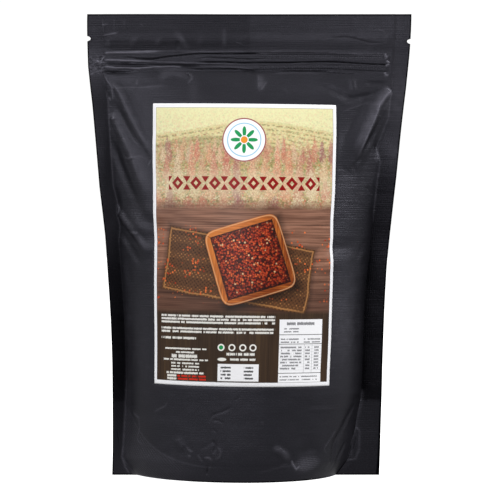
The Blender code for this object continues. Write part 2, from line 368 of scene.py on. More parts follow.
LEFT_CREASES = (
    Crease(((-76.6, 218.6), (-73.5, 213), (-68.4, 201.8), (-62.3, 190.7), (-56, 179.5), (-52, 172)), 1.25,
           (4.2, 2.8), 0.45, 0.05, (0.12, 0.35), 0.25),
    Crease(((-77, 208), (-69, 192), (-61, 178)), -0.7, (3.0, 3.0), 0.4),
    Crease(((-78.8, 200.9), (-73.6, 190.9), (-65.6, 176.9), (-60, 163.1), (-54.2, 145)), 1.0, (6, 4.0),
           0.4, 0.0, (0.08, 0.35), 0.18),
    Crease(((-79, 188), (-73.5, 172), (-67, 158), (-60, 144)), -0.7, (3.6, 4), 0.4),
    Crease(((-78.8, 145.6), (-72.2, 139), (-63.3, 130.2), (-56.2, 120.4)), 0.95, (4, 2.8), 0.5, 0.04,
           (0.1, 0.35), 0.14),
    Crease(((-78, 136), (-70, 126), (-61, 115)), -0.55, (3.6, 3.6), 0.4),
    Crease(((-79.8, 150), (-77.9, 146.6), (-79.8, 143.4)), 0.6, (1.3, 1.3), white=0.5),
    Crease(((-78.6, 196.4), (-75.4, 198)), 0.3, (0.9, 0.9), white=0.45),
    Crease(((-79.8, 209), (-78.2, 206.8)), 0.25, (0.8, 0.8), white=0.6),
    Crease(((-70.5, 176.3), (-68.5, 174.8), (-60.5, 176.3), (-56.5, 173.5)), 0.25, (1.3, 1.3),
           white=0.25),
    Crease(((-57, 171), (-54.5, 176)), -0.3, (1.0, 1.0), 0.8),
    Crease(((-70.8, 134.3), (-62.5, 133.6)), 0.3, (1.2, 2.6), white=0.22),
    Crease(((-77.5, 120), (-74, 100), (-76, 80)), 0.3, (5, 3), 0.1),
    Crease(((-72, 70), (-76, 50)), 0.25, (4, 4), 0.1),
)
RIGHT_CREASES = (
    Crease(((80, 212.6), (76.7, 209.2), (73.1, 204.1), (70.5, 196), (67.5, 187), (64.5, 179),
           (62.7, 174)), 1.6, (2.4, 5.4), 0.4, 0.5, (0.04, 0.3), 0.5),
    Crease(((80, 212.8), (76.7, 209.4), (73.6, 204.8)), 0.5, (0.8, 1.1), white=0.9, fade=(0.05, 0.3)),
    Crease(((77.5, 203), (73.5, 190), (66, 176)), -1.0, (3.2, 3), 0.5),
    Crease(((67, 177), (62.3, 171), (64, 165)), -0.5, (1.8, 1.8), 0.6),
    Crease(((71.5, 206.5), (73.2, 199), (77.5, 196.5)), 0.25, (0.9, 0.9), white=0.12),
    Crease(((72.6, 205.5), (72.8, 199)), 0.2, (0.7, 0.7), white=0.12),
    Crease(((50.4, 129.2), (60, 128.5)), 0.16, (1.5, 1.5), 0.5, 0.06),
    Crease(((50.4, 123.2), (62, 123.5)), 0.16, (1.5, 1.5), 0.5, 0.05),
    Crease(((72, 160), (78.5, 154)), -0.25, (1.2, 1.2), 0.7),
    Crease(((76, 126), (70, 118), (77, 108)), 0.3, (4, 4), 0.1),
    Crease(((70, 92), (76, 70)), -0.3, (4, 4), 0.1),
)
BOTTOM_CREASES = (
    Crease(((-18, 23.5), (-16.3, 20), (-17.3, 14.7)), -0.5, (1.8, 1.0), 0.7),
    Crease(((-15.2, 20), (-13.3, 16.4), (-14.0, 13.6), (-16.8, 12.0)), 0.25, (0.9, 0.9), white=0.25),
    Crease(((-22.5, 13.6), (-19.5, 13.2), (-17.2, 11.6)), 0.28, (0.8, 0.8), white=0.4),
    Crease(((-21.5, 3.6), (-20.4, 8.4), (-18.6, 10.4)), -0.75, (1.0, 1.0), 0.8),
    Crease(((-24, 18), (-20, 20.5), (-17, 22.5)), -0.25, (1.2, 1.2), 0.6),
    Crease(((-38.5, 23.5), (-33, 16)), 0.35, (3.5, 3.5), 0.1),
    Crease(((-34.5, 19.5), (-31.5, 17), (-31, 13)), -0.25, (1.1, 1.1), 0.8),
    Crease(((-32.5, 19), (-30, 16.6), (-27.4, 16.2)), 0.26, (0.8, 0.8), white=0.3),
    Crease(((-31.0, 14.4), (-29.2, 13.6)), 0.25, (0.7, 0.7), white=0.3),
    Crease(((-26, 15.2), (-22.6, 10.6)), 0.22, (0.8, 0.8), white=0.22),
    Crease(((-44.4, 43.6), (-45.2, 40.6), (-54.5, 36.0)), 0.14, (0.8, 0.8), white=0.16),
    Crease(((-72, 35.5), (-65.6, 32.5), (-64.6, 27), (-66.5, 21), (-61, 17)), 0.14, (0.8, 0.8),
           white=0.16, fade=(0.1, 0.1)),
    Crease(((-20.6, 31.5), (-18, 36.6), (-12, 38.6), (-6, 42)), -0.2, (1.2, 1.2), 0.7),
    Crease(((-18.6, 33.8), (-14.5, 33.6), (-11.4, 31.4)), -0.2, (0.9, 0.9), 0.9),
    Crease(((-18, 29.0), (-15, 26.6)), -0.15, (0.8, 0.8), 0.9),
    Crease(((-6.5, 44.5), (-3, 46.6)), -0.12, (0.8, 0.8), 0.9),
    Crease(((8, 33.5), (9.2, 31)), 0.12, (0.7, 0.7), white=0.14),
    Crease(((14.5, 19.5), (21.6, 15.2), (26.6, 11.4)), 0.85, (3.2, 2.4), 0.4, 0.06, painted_highlight=0.2),
    Crease(((26.4, 12), (28.2, 9.0), (31, 6.6), (33, 8.6)), 0.6, (0.8, 0.8), white=0.9,
           fade=(0.15, 0.15)),
    Crease(((29, 14.8), (38, 18.0), (49.5, 15.5)), -0.6, (4.2, 4.4), 0.35),
    Crease(((58, 28), (48.8, 16.8), (53.5, 12.4)), 0.22, (0.9, 0.9), white=0.16),
    Crease(((19, 8.4), (26, 10.4)), 0.18, (0.8, 0.8), white=0.12),
    Crease(((5, 5.2), (22, 8.2)), 0.10, (0.8, 0.8), white=0.08),
    Crease(((33, 39.0), (58, 38.4)), 0.24, (2.0, 2.0), 0.4, 0.04),
    Crease(((28, 26.6), (52, 25.3)), 0.16, (1.2, 1.2), 0.5, 0.03),
    Crease(((76, 43.5), (68, 33), (58, 20), (59, 8), (64, 2)), -0.8, (3.2, 4.4), 0.5),
    Crease(((71, 20), (64, 10), (62, 3)), -0.6, (2.0, 2.4), 0.5),
    Crease(((66.5, 15.5), (64.5, 11)), -0.3, (0.7, 0.7), 0.9),
    Crease(((80.9, 26.5), (79.6, 20), (78.9, 9.6), (79.6, 7.6), (82.6, 8.6), (83.2, 14), (82.2, 24),
           (80.9, 26.5)), 0.22, (0.7, 0.7), white=0.26, fade=(0.02, 0.02)),
    Crease(((81.2, 22), (80.9, 16), (80.6, 10)), -0.4, (0.7, 0.7), 0.9),
    Crease(((-86.5, 25), (-83.6, 17)), -0.3, (1.0, 1.0)),
    Crease(((-79.5, 12), (-76, 5), (-70, 1)), -0.6, (1.8, 2.8), 0.6),
)
FRONT_CREASES = (
    TOP_CREASES + ZIP_END_CREASES + SHOULDER_CREASES + LEFT_CREASES + RIGHT_CREASES + BOTTOM_CREASES
)

# Creases of the back, as seen from the front
BACK_CREASES = (
    Crease(((-79, 219), (-66, 196), (-50, 165)), 1.3, (5, 8), 0.4, 0.12, painted_highlight=0.06),
    Crease(((-78, 204), (-66, 180), (-58, 160)), -0.5, (4, 4), 0.3),
    Crease(((79, 217), (70, 200), (52, 172), (44, 150)), 1.4, (8, 5), 0.4, 0.12, painted_highlight=0.06),
    Crease(((78, 199), (68, 180), (60, 158)), -0.6, (4, 4), 0.3),
    Crease(((79.5, 165), (66, 148), (56, 126)), 0.9, (5, 5), 0.4, 0.1, painted_highlight=0.05),
    Crease(((-79, 150), (-64, 132), (-56, 110)), 0.8, (5, 5), 0.4, 0.08, painted_highlight=0.05),
    Crease(((-40, 221), (-30, 208), (-12, 215)), 0.55, (3, 3), 0.7, 0.18, painted_highlight=0.05),
    Crease(((18, 222), (24, 210), (36, 218)), 0.55, (3, 3), 0.7, 0.18, painted_highlight=0.05),
    Crease(((-20, 204), (14, 198)), 0.3, (4, 4), 0.2, painted_highlight=0.04),
    Crease(((-46, 92), (-18, 86), (6, 90)), 0.4, (6, 6), 0.2, painted_highlight=0.04),
    Crease(((10, 60), (34, 52), (52, 58)), 0.4, (5, 5), 0.2, painted_highlight=0.04),
    Crease(((-12, 20), (-2, 12), (6, 17)), 0.5, (2.5, 2.5), 0.7, 0.3),
    Crease(((38, 22), (30, 11), (24, 9)), -0.7, (3, 3), 0.6),
    Crease(((-50, 30), (-40, 16)), 0.4, (4, 4), 0.3),
    Crease(((76, 44), (66, 28), (72, 4)), -0.8, (4, 4), 0.4),
    Crease(((-76, 40), (-67, 24), (-73, 4)), -0.6, (4, 4), 0.4),
    Crease(((60, 241), (74, 238.5)), -0.4, (1.4, 1.4)),
    Crease(((-70, 239), (-52, 241.5)), 0.3, (2, 2), 0.6),
)


def smooth(x):
    """Runs smoothly from 0 to 1 as x does."""
    x = np.clip(x, 0.0, 1.0)
    return x * x * (3 - 2 * x)


def side_chord(height):
    """Half the straight distance between the two seals, which shrinks as the film bulges."""
    share = np.clip(1 - (height / BAG_HEIGHT) ** SIDE_POWER, 0.0, None)
    return PANEL_HALF * np.sinc(SIDE_TURN * share**EASE / np.pi)


def belly(height):
    """How far the middle of a panel stands in front of the seals."""
    bulge = np.clip(1 - (height / BELLY_TOP) ** BELLY_POWER, 0.0, None) ** BELLY_EASE
    draw_in = FOOT_DRAW_IN * np.clip(1 - height / FOOT_HEIGHT, 0.0, None) ** 2
    return BELLY_DEPTH * bulge * (1 - draw_in)


def by_side(profiles, across, height):
    """Reads a profile up the nearest side of the bag, with heights and distances in mm."""
    found = {side: np.interp(height, *zip(*rows)) for side, rows in profiles.items()}
    return np.where(across < 0, found[LEFT], found[RIGHT])


def notch_depth(share, height):
    """How far a tear notch cuts in from the side edge."""
    middle = np.where(share < 0, NOTCHES[LEFT], NOTCHES[RIGHT])
    off = np.abs(height / MM - middle) / NOTCH_HALF
    return NOTCH_DEPTH * MM * np.sqrt(np.clip(1 - off**2, 0.0, None))


def half_arc(share, height):
    """The side edge, the fold, and the radius and turn of the arc of half a panel out to its fold."""
    edge = side_chord(height) + SEAL_WIDTH + by_side(EDGE_SHIFTS, share, height / MM) * MM
    fold = edge - by_side(SEAL_PROFILES, share, height / MM) * MM
    end_turn = np.maximum(2 * np.arctan2(belly(height), fold), FLAT_TURN)
    return edge, fold, fold / np.sin(end_turn), end_turn


def real_across(across, height):
    """The distance along the real film from the middle line, for a place on the even flat bag."""
    _, _, radius, end_turn = half_arc(across, height)
    return across * radius * end_turn / PANEL_HALF


def even_across(real, height):
    """The place on the even flat bag, for a distance along the real film."""
    _, _, radius, end_turn = half_arc(real, height)
    return real * PANEL_HALF / (radius * end_turn)


def section(share, height):
    """Sideways place, depth and turn of the film."""
    end = np.where(share < 0, -1.0, 1.0)
    edge, fold, radius, end_turn = half_arc(share, height)
    edge = edge - notch_depth(share, height)
    beyond = np.clip((np.abs(share) - 1) / (EDGE_SHARE - 1), 0.0, 1.0)
    turn = end_turn * np.clip(share, -1.0, 1.0)
    near_fold = smooth(1 - (1 - np.abs(share)) / WAVER_REACH) * (1 - beyond)
    waver = by_side(FOLD_WAVERS, share, height / MM) * MM * near_fold
    x = radius * np.sin(turn) + end * (beyond * (edge - fold) - waver)
    depth = radius * (np.cos(turn) - np.cos(end_turn))
    return x, depth, np.where(beyond > 0, 0.0, turn)


def path_places(across, height, path):
    """The distance from a path, which side of it, and the share of its length at the nearest point."""
    near = np.full(across.shape, np.inf)
    side, along = np.zeros(across.shape), np.zeros(across.shape)
    stretches = list(zip(path, path[1:]))
    total = sum(math.dist(start, end) for start, end in stretches)
    run = 0.0
    for start, end in stretches:
        length = math.dist(start, end)
        du, dz = (end[0] - start[0]) / length, (end[1] - start[1]) / length
        step = np.clip((across - start[0]) * du + (height - start[1]) * dz, 0.0, length)
        off_u, off_z = across - start[0] - step * du, height - start[1] - step * dz
        distance = np.hypot(off_u, off_z)
        closer = distance < near
        near = np.where(closer, distance, near)
        side = np.where(closer, np.sign(off_u * dz - off_z * du), side)
        along = np.where(closer, (run + step) / total, along)
        run += length
    return near, side, along


def crease_relief(across, height, creases):
    """Rise in mm and paleness of a set of creases: whitened lines with painted highlights, and painted
    highlights over their reach.
    """
    rise, white = np.zeros(across.shape), np.zeros(across.shape)
    for crease in creases:
        margin = max(crease.reach)
        low, high = np.min(crease.path, axis=0) - margin, np.max(crease.path, axis=0) + margin
        inside = (across > low[0]) & (across < high[0]) & (height > low[1]) & (height < high[1])
        near, side, along = path_places(across[inside], height[inside], crease.path)
        off = near / np.where(side < 0, crease.reach[0], crease.reach[1])
        crisp, soft = np.clip(1 - off, 0, 1) ** 2, np.clip(1 - off**2, 0, 1) ** 2
        ends = smooth(along / crease.fade[0]) * smooth((1 - along) / crease.fade[1])
        rise[inside] += crease.rise * ends * (crease.crisp * crisp + (1 - crease.crisp) * soft)
        # Paleness: the line's white, partly whitened film and partly painted highlight, and a broad painted
        # highlight over the reach
        white[inside] += ends * (crease.white * np.exp(-((near / WHITE_HALF) ** 2)) + crease.painted_highlight * soft)
    return rise, white


def fold_relief(across, height):
    """Rise in mm of the broad folds, each a rounded ridge that dies out at its ends."""
    rise = np.zeros(across.shape)
    for start, end, half_width, fold_rise in FRONT_FOLDS:
        length = math.dist(start, end)
        du, dz = (end[0] - start[0]) / length, (end[1] - start[1]) / length
        along = ((across - start[0]) * du + (height - start[1]) * dz) / length
        off = ((across - start[0]) * dz - (height - start[1]) * du) / half_width
        swell = np.sin(np.pi * np.clip(along, 0, 1))
        rise += fold_rise * swell * np.clip(1 - off**2, 0, 1) ** 2
    return rise


def crumple(across, height, size, seed):
    """Smooth noise from -1 to 1 over the flat film. Size is in mm."""
    places = zip(across / size, height / size)
    return np.array([noise.noise(Vector((u, z, seed))) for u, z in places])


def zip_relief(across, height):
    """Rise in mm and paleness of the zip: a raised flange with ridges, flat where its ends are welded, with
    painted highlights on the ribs.
    """
    upper, lower = (np.interp(across, ZIP_ACROSS, line) for line in (ZIP_UPPER, ZIP_LOWER))
    rise, white = crease_relief(across, height, ZIP_CREASES)
    rise += FLANGE_RISE * smooth((upper - height) / 0.5) * smooth((height - lower) / 0.5)
    ends = smooth((across - ZIP_ENDS[0]) / 1.5) * smooth((ZIP_ENDS[1] - across) / 1.5)
    return rise * ends, white * ends


def gusset_seal(across):
    """Height in mm of the curved seal that joins the bottom film to each panel."""
    return GUSSET_SEAL_LOW + GUSSET_SEAL_RISE * (np.abs(across) * MM / PANEL_HALF) ** GUSSET_SEAL_POWER


def seal_relief(across, height):
    """Rise in mm above the bottom seal, in the slack band, and at the lower part of the side seals."""
    over = height - gusset_seal(across)
    rise = 0.30 * smooth(over / 2.5) + 0.16 * np.exp(-((over / 0.7) ** 2))
    slack = np.clip((height - SLACK_FOOT) / (TOP_SEAL - SLACK_FOOT), 0, 1)
    rise += SLACK_RISE * np.sin(np.pi * slack**1.4) * smooth((80 - np.abs(across)) / 4)
    fin = smooth((np.abs(across) * MM - PANEL_HALF) / (0.3 * MM))
    return rise * (1 - fin) + 0.2 * fin * smooth((GUSSET_TOP - height) / 0.8)


def sway(across, height):
    """How far in mm the sealed films wave back and forth, at the top band and along the side seals."""
    top = smooth((height - 216) / 26) * (0.55 * np.sin(across / 29 + 0.8) + 0.2 * np.sin(across / 13 + 2))
    beyond = np.clip((np.abs(across) * MM - PANEL_HALF) / SEAL_WIDTH, 0, 1)
    ripple = (0.25 * np.sin(height / 9.5) + 0.2 * np.sin(height / 5.3 + 2)) * smooth((225 - height) / 20)
    return top + beyond * (by_side(FIN_TURNS, across, height) + ripple * smooth(height / 12))


def label_shift(share, height):
    """How far in mm the label's paper stands to the right. Share runs from 0 to 1 between its side edges."""
    left, right = (np.interp(height, *zip(*LABEL_EDGES[side])) for side in (LEFT, RIGHT))
    return left + (right - left) * np.clip(share, 0, 1)


def outside_label(across, height):
    """How far a place in mm is outside the label's edge, which is below 0 under the label."""
    real = real_across(across * MM, height * MM) / MM
    du, dz = real - LABEL_MIDDLE[0] / MM, height - LABEL_MIDDLE[1] / MM
    a = du * math.cos(LABEL_TILT) + dz * math.sin(LABEL_TILT)
    b = -du * math.sin(LABEL_TILT) + dz * math.cos(LABEL_TILT)
    a = a - label_shift(a * MM / LABEL_WIDTH + 0.5, height)
    return np.maximum(np.abs(a) - LABEL_WIDTH / 2 / MM, np.abs(b) - LABEL_HEIGHT / 2 / MM)


def finely_creased(across, height):
    """Which places in mm are near a crisp crease, a fold line, a seal's line or the crumpled weld."""
    fine = (np.abs(np.abs(across) - PANEL_HALF / MM) < 1.0) & (height < 216)
    fine |= np.abs(height - gusset_seal(across)) < 0.8
    low, high = WELD_SPOT
    fine |= (across > low[0]) & (across < high[0]) & (height > low[1]) & (height < high[1])
    for crease in FRONT_CREASES:
        if crease.white >= 0.1 or crease.crisp >= 0.7:
            fine |= path_places(across, height, crease.path)[0] < FINE_REACH
    return fine & (outside_label(across, height) > -1)


def broad_relief(across, height, side):
    """Rise in mm that the label follows as well as the film."""
    size, tall = BROAD_WAVE
    waves = tall * crumple(across, height, size, side * 3.7) * smooth((225 - height) / 20)
    if side == BACK:
        return waves
    return fold_relief(across, height) + crease_relief(across, height, LABEL_FOLDS)[0] + waves


def fine_relief(across, height, side):
    """Rise in mm and paleness that only the bare film shows, partly whitened film and partly painted
    highlights.
    """
    creases = FRONT_CREASES if side == FRONT else BACK_CREASES
    rise, white = crease_relief(across, height, creases)
    zip_rise, zip_white = zip_relief(across, height)
    rise += seal_relief(across, height) + zip_rise
    white += zip_white
    rise += sum(tall * crumple(across, height, size, side * seed) for size, tall, seed in SMALL_WAVES)
    patches = 0.5 + 0.5 * crumple(across, height, 3, side * 2.2)
    # A pale line along each fold, film whitened by bending with a painted highlight, on a slight bead
    half = np.interp(height, (50, 65), (1.1, 0.6))
    from_fold = np.abs(across) - PANEL_HALF / MM - 0.2
    at_fold = np.exp(-((from_fold / half) ** 2)) * smooth((FOLD_TOP - height) / 4)
    at_fold *= by_side(FOLD_WEAR_AND_HIGHLIGHT, across, height)
    white = white * (0.5 + patches) + at_fold * (0.25 + 0.75 * patches)
    rise += 0.3 * at_fold
    foot, top = WELD_SPOT[0][1], WELD_SPOT[1][1]
    weld = smooth((-79 - across) / 1.5) * smooth((height - foot) / 2) * smooth((top - height) / 4)
    knobs = crumple(across, height, WELD_KNOBS, side * 6.6)
    rise += 0.25 * weld * knobs
    white += 0.55 * weld * np.clip(knobs + 0.1, 0, 1)
    seal_line = np.exp(-(((height - gusset_seal(across)) / 0.4) ** 2)) * smooth((np.abs(across) - 8) / 20)
    white += 0.16 * seal_line * smooth((77 - np.abs(across)) / 6) * (across < 30)
    if side == FRONT:
        # Painted highlights: paler spots on the front where light falls on the film
        for middle, radii, strength in PAINTED_HIGHLIGHT_SPOTS:
            off = ((across - middle[0]) / radii[0]) ** 2 + ((height - middle[1]) / radii[1]) ** 2
            white += strength * np.exp(-off) * (0.6 + 0.8 * patches)
    open_film = smooth((outside_label(across, height) + 0.4) / 1.6) if side == FRONT else 1.0
    return rise * open_film, white * open_film


def film_places(across, height, side, lift=0.0, bare=True):
    """Points on the outside of the film, with lift in metres, and how pale they are painted: whitened film
    and painted highlights.
    """
    share = across / PANEL_HALF
    x, depth, turn = section(share, height)
    u, z = across / MM, height / MM
    rise, white = broad_relief(u, z, side), np.zeros(u.shape)
    panel = smooth((PANEL_HALF / MM - np.abs(u)) / 1.2)
    rise = rise * panel
    if bare:
        fine, white = fine_relief(u, z, side)
        rise = rise + fine
    stand = FILM_PAIR / 2 + rise * MM + lift
    lean = -LEAN * (1 - height / BAG_HEIGHT)
    y = side * (depth + stand * np.cos(turn)) + sway(u, z) * MM
    return np.stack([x + lean + stand * np.sin(turn), y, height], axis=1), white


def underside_places(across, level):
    """Points of the underside. Level runs from -1 at the front skirt's edge to 1 at the back one's."""
    places = np.zeros((len(across), 3))
    for side in (FRONT, BACK):
        rim, _ = film_places(across, np.zeros(len(across)), side)
        of_side = level * side > 0
        places[of_side] = rim[of_side]
    share, depth = np.abs(across) / PANEL_HALF, np.abs(level)
    end = np.clip((share - PAD_END) / (1 - PAD_END), 0, None)
    groove = smooth((depth - PAD_DEPTH) / (GROOVE_DEPTH - PAD_DEPTH))
    crease = GUSSET_CREASE * np.clip(1 - depth / GUSSET_CREASE_HALF, 0, 1)
    lift = GUSSET_END_RISE * end**GUSSET_POWER + GUSSET_LIFT * groove + crease
    raised = (depth < SKIRT_WALL) & (share < CAVITY_END)
    places[:, 2] = np.where(raised, lift * smooth((CAVITY_END - share) / 0.04), 0.0)
    places[:, 1] *= np.where(share >= 1, 1.0, depth)
    return places


def grid_lines(stretches):
    """Values along one side of a grid, from (start, end, steps) stretches that follow on each other."""
    parts = [np.linspace(start, end, steps, endpoint=False) for start, end, steps in stretches]
    return np.append(np.concatenate(parts), stretches[-1][1])


def add_sheet(mesh, columns, rows, place):
    """Adds a grid to the mesh, with the vertex of each column and row put where place says."""
    size = (len(columns) - 1, len(rows) - 1)
    made = bmesh.ops.create_grid(mesh, x_segments=size[0], y_segments=size[1], size=0.5)
    for vertex in made["verts"]:
        column = columns[round((vertex.co.x + 0.5) * size[0])]
        row = rows[round((vertex.co.y + 0.5) * size[1])]
        vertex.co = place(column, row)


def halve(mesh, wanted):
    """Cuts the front's cells in half both ways where wanted says so of their corners' places in mm."""
    front = [vertex for vertex in mesh.verts if vertex.co.y == FRONT]
    flat = np.array([vertex.co for vertex in front]) / MM
    chosen = {vertex for vertex, keep in zip(front, wanted(flat[:, 0], flat[:, 2])) if keep}
    edges = [edge for edge in mesh.edges if all(vertex in chosen for vertex in edge.verts)]
    bmesh.ops.subdivide_edges(mesh, edges=edges, cuts=1, use_grid_fill=True, quad_corner_type="INNER_VERT")


def flat_bag():
    """The bag as a thin box of sheets: x is the distance across, y runs front to back, and z is height."""
    fin = grid_lines(((PANEL_HALF, BAG_WIDTH / 2, FIN_STEPS),))
    panel = grid_lines(((-PANEL_HALF, PANEL_HALF, PANEL_STEPS),))
    columns = np.concatenate([-fin[::-1], panel[1:-1], fin])
    rows = grid_lines(FILM_STRETCHES) * MM
    levels = [-level for level in UNDER_LEVELS] + [0.0] + [*reversed(UNDER_LEVELS)]
    mesh = bmesh.new()
    for side in (FRONT, BACK):
        add_sheet(mesh, columns, rows, lambda u, z, s=side: (u, s, z))
    add_sheet(mesh, columns, levels, lambda u, level: (u, level, 0.0))
    add_sheet(mesh, columns, (FRONT, BACK), lambda u, s: (u, s, BAG_HEIGHT))
    for edge in (-BAG_WIDTH / 2, BAG_WIDTH / 2):
        add_sheet(mesh, (FRONT, BACK), rows, lambda s, z, u=edge: (u, s, z))
    bmesh.ops.remove_doubles(mesh, verts=mesh.verts, dist=MERGE)
    halve(mesh, lambda across, height: outside_label(across, height) > COARSE_INSIDE)
    halve(mesh, finely_creased)
    return mesh


def shape_film(mesh):
    """Moves the flat bag's vertices to the full bag's surface, and keeps where they came from."""
    mesh.verts.ensure_lookup_table()
    flat = np.array([v.co for v in mesh.verts])
    places, white = np.zeros(flat.shape), np.zeros(len(flat))
    for side in (FRONT, BACK):
        of_side = flat[:, 1] == side
        places[of_side], white[of_side] = film_places(flat[of_side, 0], flat[of_side, 2], side)
    under = np.abs(flat[:, 1]) < 1
    places[under] = underside_places(flat[under, 0], flat[under, 1])
    flat_layer = mesh.verts.layers.float_vector.new("flat_mm")
    # Paleness for the material: whitened film and painted highlights
    white_layer = mesh.verts.layers.float.new("whitening_and_highlights")
    for vertex, place, start, paleness in zip(mesh.verts, places, flat, white):
        vertex.co = place
        vertex[flat_layer] = Vector((start[0] / MM, start[2] / MM, start[1]))
        vertex[white_layer] = paleness
    bmesh.ops.remove_doubles(mesh, verts=mesh.verts, dist=MERGE)
    bmesh.ops.dissolve_degenerate(mesh, edges=mesh.edges, dist=MERGE)
    bmesh.ops.recalc_face_normals(mesh, faces=mesh.faces)


def new_piece(name, mesh, materials):
    """Turns a bmesh into a smooth-shaded object in the scene."""
    data = bpy.data.meshes.new(name)
    mesh.to_mesh(data)
    mesh.free()
    data.shade_smooth()
    data.set_sharp_from_angle(angle=SHARP_ANGLE)
    for material in materials:
        data.materials.append(material)
    made = bpy.data.objects.new(name, data)
    bpy.context.scene.collection.objects.link(made)
    return made


def ink(red, green, blue):
    """A linear colour from the 0 to 255 values that a screen shows."""
    screen = [value / 255 for value in (red, green, blue)]
    linear = [v / 12.92 if v <= 0.04045 else ((v + 0.055) / 1.055) ** 2.4 for v in screen]
    return (*linear, 1.0)


class Field:
    """A number that varies over a surface, in a material's node tree. Arithmetic on it adds Math nodes."""

    def __init__(self, tree, socket):
        self.tree = tree
        self.socket = socket

    def math(self, operation, *others, clamp=False):
        node = self.tree.nodes.new("ShaderNodeMath")
        node.operation = operation
        node.use_clamp = clamp
        for slot, value in enumerate((self, *others)):
            if isinstance(value, Field):
                self.tree.links.new(value.socket, node.inputs[slot])
            else:
                node.inputs[slot].default_value = value
        return Field(self.tree, node.outputs[0])

    def __add__(self, other):
        return self.math("ADD", other)

    def __sub__(self, other):
        return self.math("SUBTRACT", other)

    def __mul__(self, other):
        return self.math("MULTIPLY", other)

    def __truediv__(self, other):
        return self.math("DIVIDE", other)

    def __pow__(self, other):
        return self.math("POWER", other)

    def __neg__(self):
        return self * -1.0

    def __abs__(self):
        return self.math("ABSOLUTE")

    def held(self):
        """Kept between 0 and 1."""
        return self.math("ADD", 0.0, clamp=True)

    def under(self, limit, blur):
        """1 where this is below the limit, 0 above it, with a soft change over blur."""
        if isinstance(limit, Field):
            return ((limit - self) / blur + 0.5).held()
        return (self * (-1.0 / blur) + (limit / blur + 0.5)).held()

    def over(self, limit, blur):
        """1 where this is above the limit and 0 below it."""
        return -self.under(limit, blur) + 1.0

    def least(self, other):
        return self.math("MINIMUM", other)

    def most(self, other):
        return self.math("MAXIMUM", other)


class Surface:
    """A material in the making, with places on the surface in mm and a colour painted layer by layer."""

    def __init__(self, name, across, up):
        self.material = bpy.data.materials.new(name)
        self.material.use_nodes = True
        self.tree = self.material.node_tree
        self.shader = self.tree.nodes["Principled BSDF"]
        self.across, self.up = across(self.tree), up(self.tree)
        self.colour = None

    def vector(self, first, second, shift=0.0):
        """A vector for a texture."""
        node = self.tree.nodes.new("ShaderNodeCombineXYZ")
        for socket, value in zip(node.inputs, (first, second)):
            self.tree.links.new(value.socket, socket)
        node.inputs["Z"].default_value = shift
        return node.outputs[0]

    def noise_at(self, first, second, shift=0.0, detail=1.0):
        """Cloudy noise from 0 to 1 at the given numbers."""
        node = self.tree.nodes.new("ShaderNodeTexNoise")
        node.inputs["Scale"].default_value = 1.0
        node.inputs["Detail"].default_value = detail
        self.tree.links.new(self.vector(first, second, shift), node.inputs["Vector"])
        return Field(self.tree, node.outputs[0])

    def grain(self, across, up, detail=2.0, shift=0.0):
        """Cloudy noise from 0 to 1, of the given size in mm in each direction."""
        return self.noise_at(self.across * (1 / across), self.up * (1 / up), shift, detail)

    def cells(self, size, shift=0.0, stretch=1.0):
        """Grains of the given size in mm: the distance from a grain's middle, and a random number."""
        node = self.tree.nodes.new("ShaderNodeTexVoronoi")
        node.inputs["Scale"].default_value = 1.0
        where = self.vector(self.across * (1 / size), self.up * (stretch / size), shift)
        self.tree.links.new(where, node.inputs["Vector"])
        split = self.tree.nodes.new("ShaderNodeSeparateColor")
        self.tree.links.new(node.outputs["Color"], split.inputs[0])
        return Field(self.tree, node.outputs["Distance"]), Field(self.tree, split.outputs[0])

    def random(self, number):
        """A random number from 0 to 1 that goes with a whole number."""
        node = self.tree.nodes.new("ShaderNodeTexWhiteNoise")
        node.noise_dimensions = "1D"
        self.tree.links.new(number.socket, node.inputs["W"])
        return Field(self.tree, node.outputs["Value"])

    def mix(self, below, above, mask):
        """One colour over another where mask is 1."""
        node = self.tree.nodes.new("ShaderNodeMix")
        node.data_type = "RGBA"
        for value, socket in ((mask, node.inputs[0]), (below, node.inputs[6]), (above, node.inputs[7])):
            if isinstance(value, Field):
                self.tree.links.new(value.socket, socket)
            elif isinstance(value, bpy.types.NodeSocket):
                self.tree.links.new(value, socket)
            else:
                socket.default_value = value
        return node.outputs[2]

    def paint(self, mask, colour):
        """Lays a colour on what is there already."""
        self.colour = self.mix(self.colour, colour, mask)

    def ramp(self, value, *colours):
        """Colours along a number from 0 to 1, evenly spaced."""
        node = self.tree.nodes.new("ShaderNodeValToRGB")
        stops = node.color_ramp.elements
        while len(stops) < len(colours):
            stops.new(0.5)
        for i, colour in enumerate(colours):
            stops[i].position = i / (len(colours) - 1)
        for stop, colour in zip(stops, colours):
            stop.color = colour
        self.tree.links.new(value.socket, node.inputs[0])
        return node.outputs[0]

    def box(self, low, high, blur=0.14):
        """A mask of a rectangle between two corners in mm."""
        middle = [(a + b) / 2 for a, b in zip(low, high)]
        half = [(b - a) / 2 for a, b in zip(low, high)]
        out = (abs(self.across - middle[0]) - half[0]).most(abs(self.up - middle[1]) - half[1])
        return out.under(0.0, blur)

    def oval(self, middle, radii, blur=0.14):
        """A mask of an ellipse."""
        off_a, off_b = (self.across - middle[0]) / radii[0], (self.up - middle[1]) / radii[1]
        reach = (off_a * off_a + off_b * off_b).math("SQRT")
        return reach.under(1.0, blur / min(radii))

    def bump(self, height, distance=MM):
        """Gives the shader a relief, with height in mm."""
        node = self.tree.nodes.new("ShaderNodeBump")
        node.inputs["Strength"].default_value = 1.0
        node.inputs["Distance"].default_value = distance
        self.tree.links.new(height.socket, node.inputs["Height"])
        self.tree.links.new(node.outputs[0], self.shader.inputs["Normal"])

    def finish(self, roughness=None):
        if self.colour is not None:
            self.tree.links.new(self.colour, self.shader.inputs["Base Color"])
        if roughness is not None:
            self.tree.links.new(roughness.socket, self.shader.inputs["Roughness"])
        return self.material


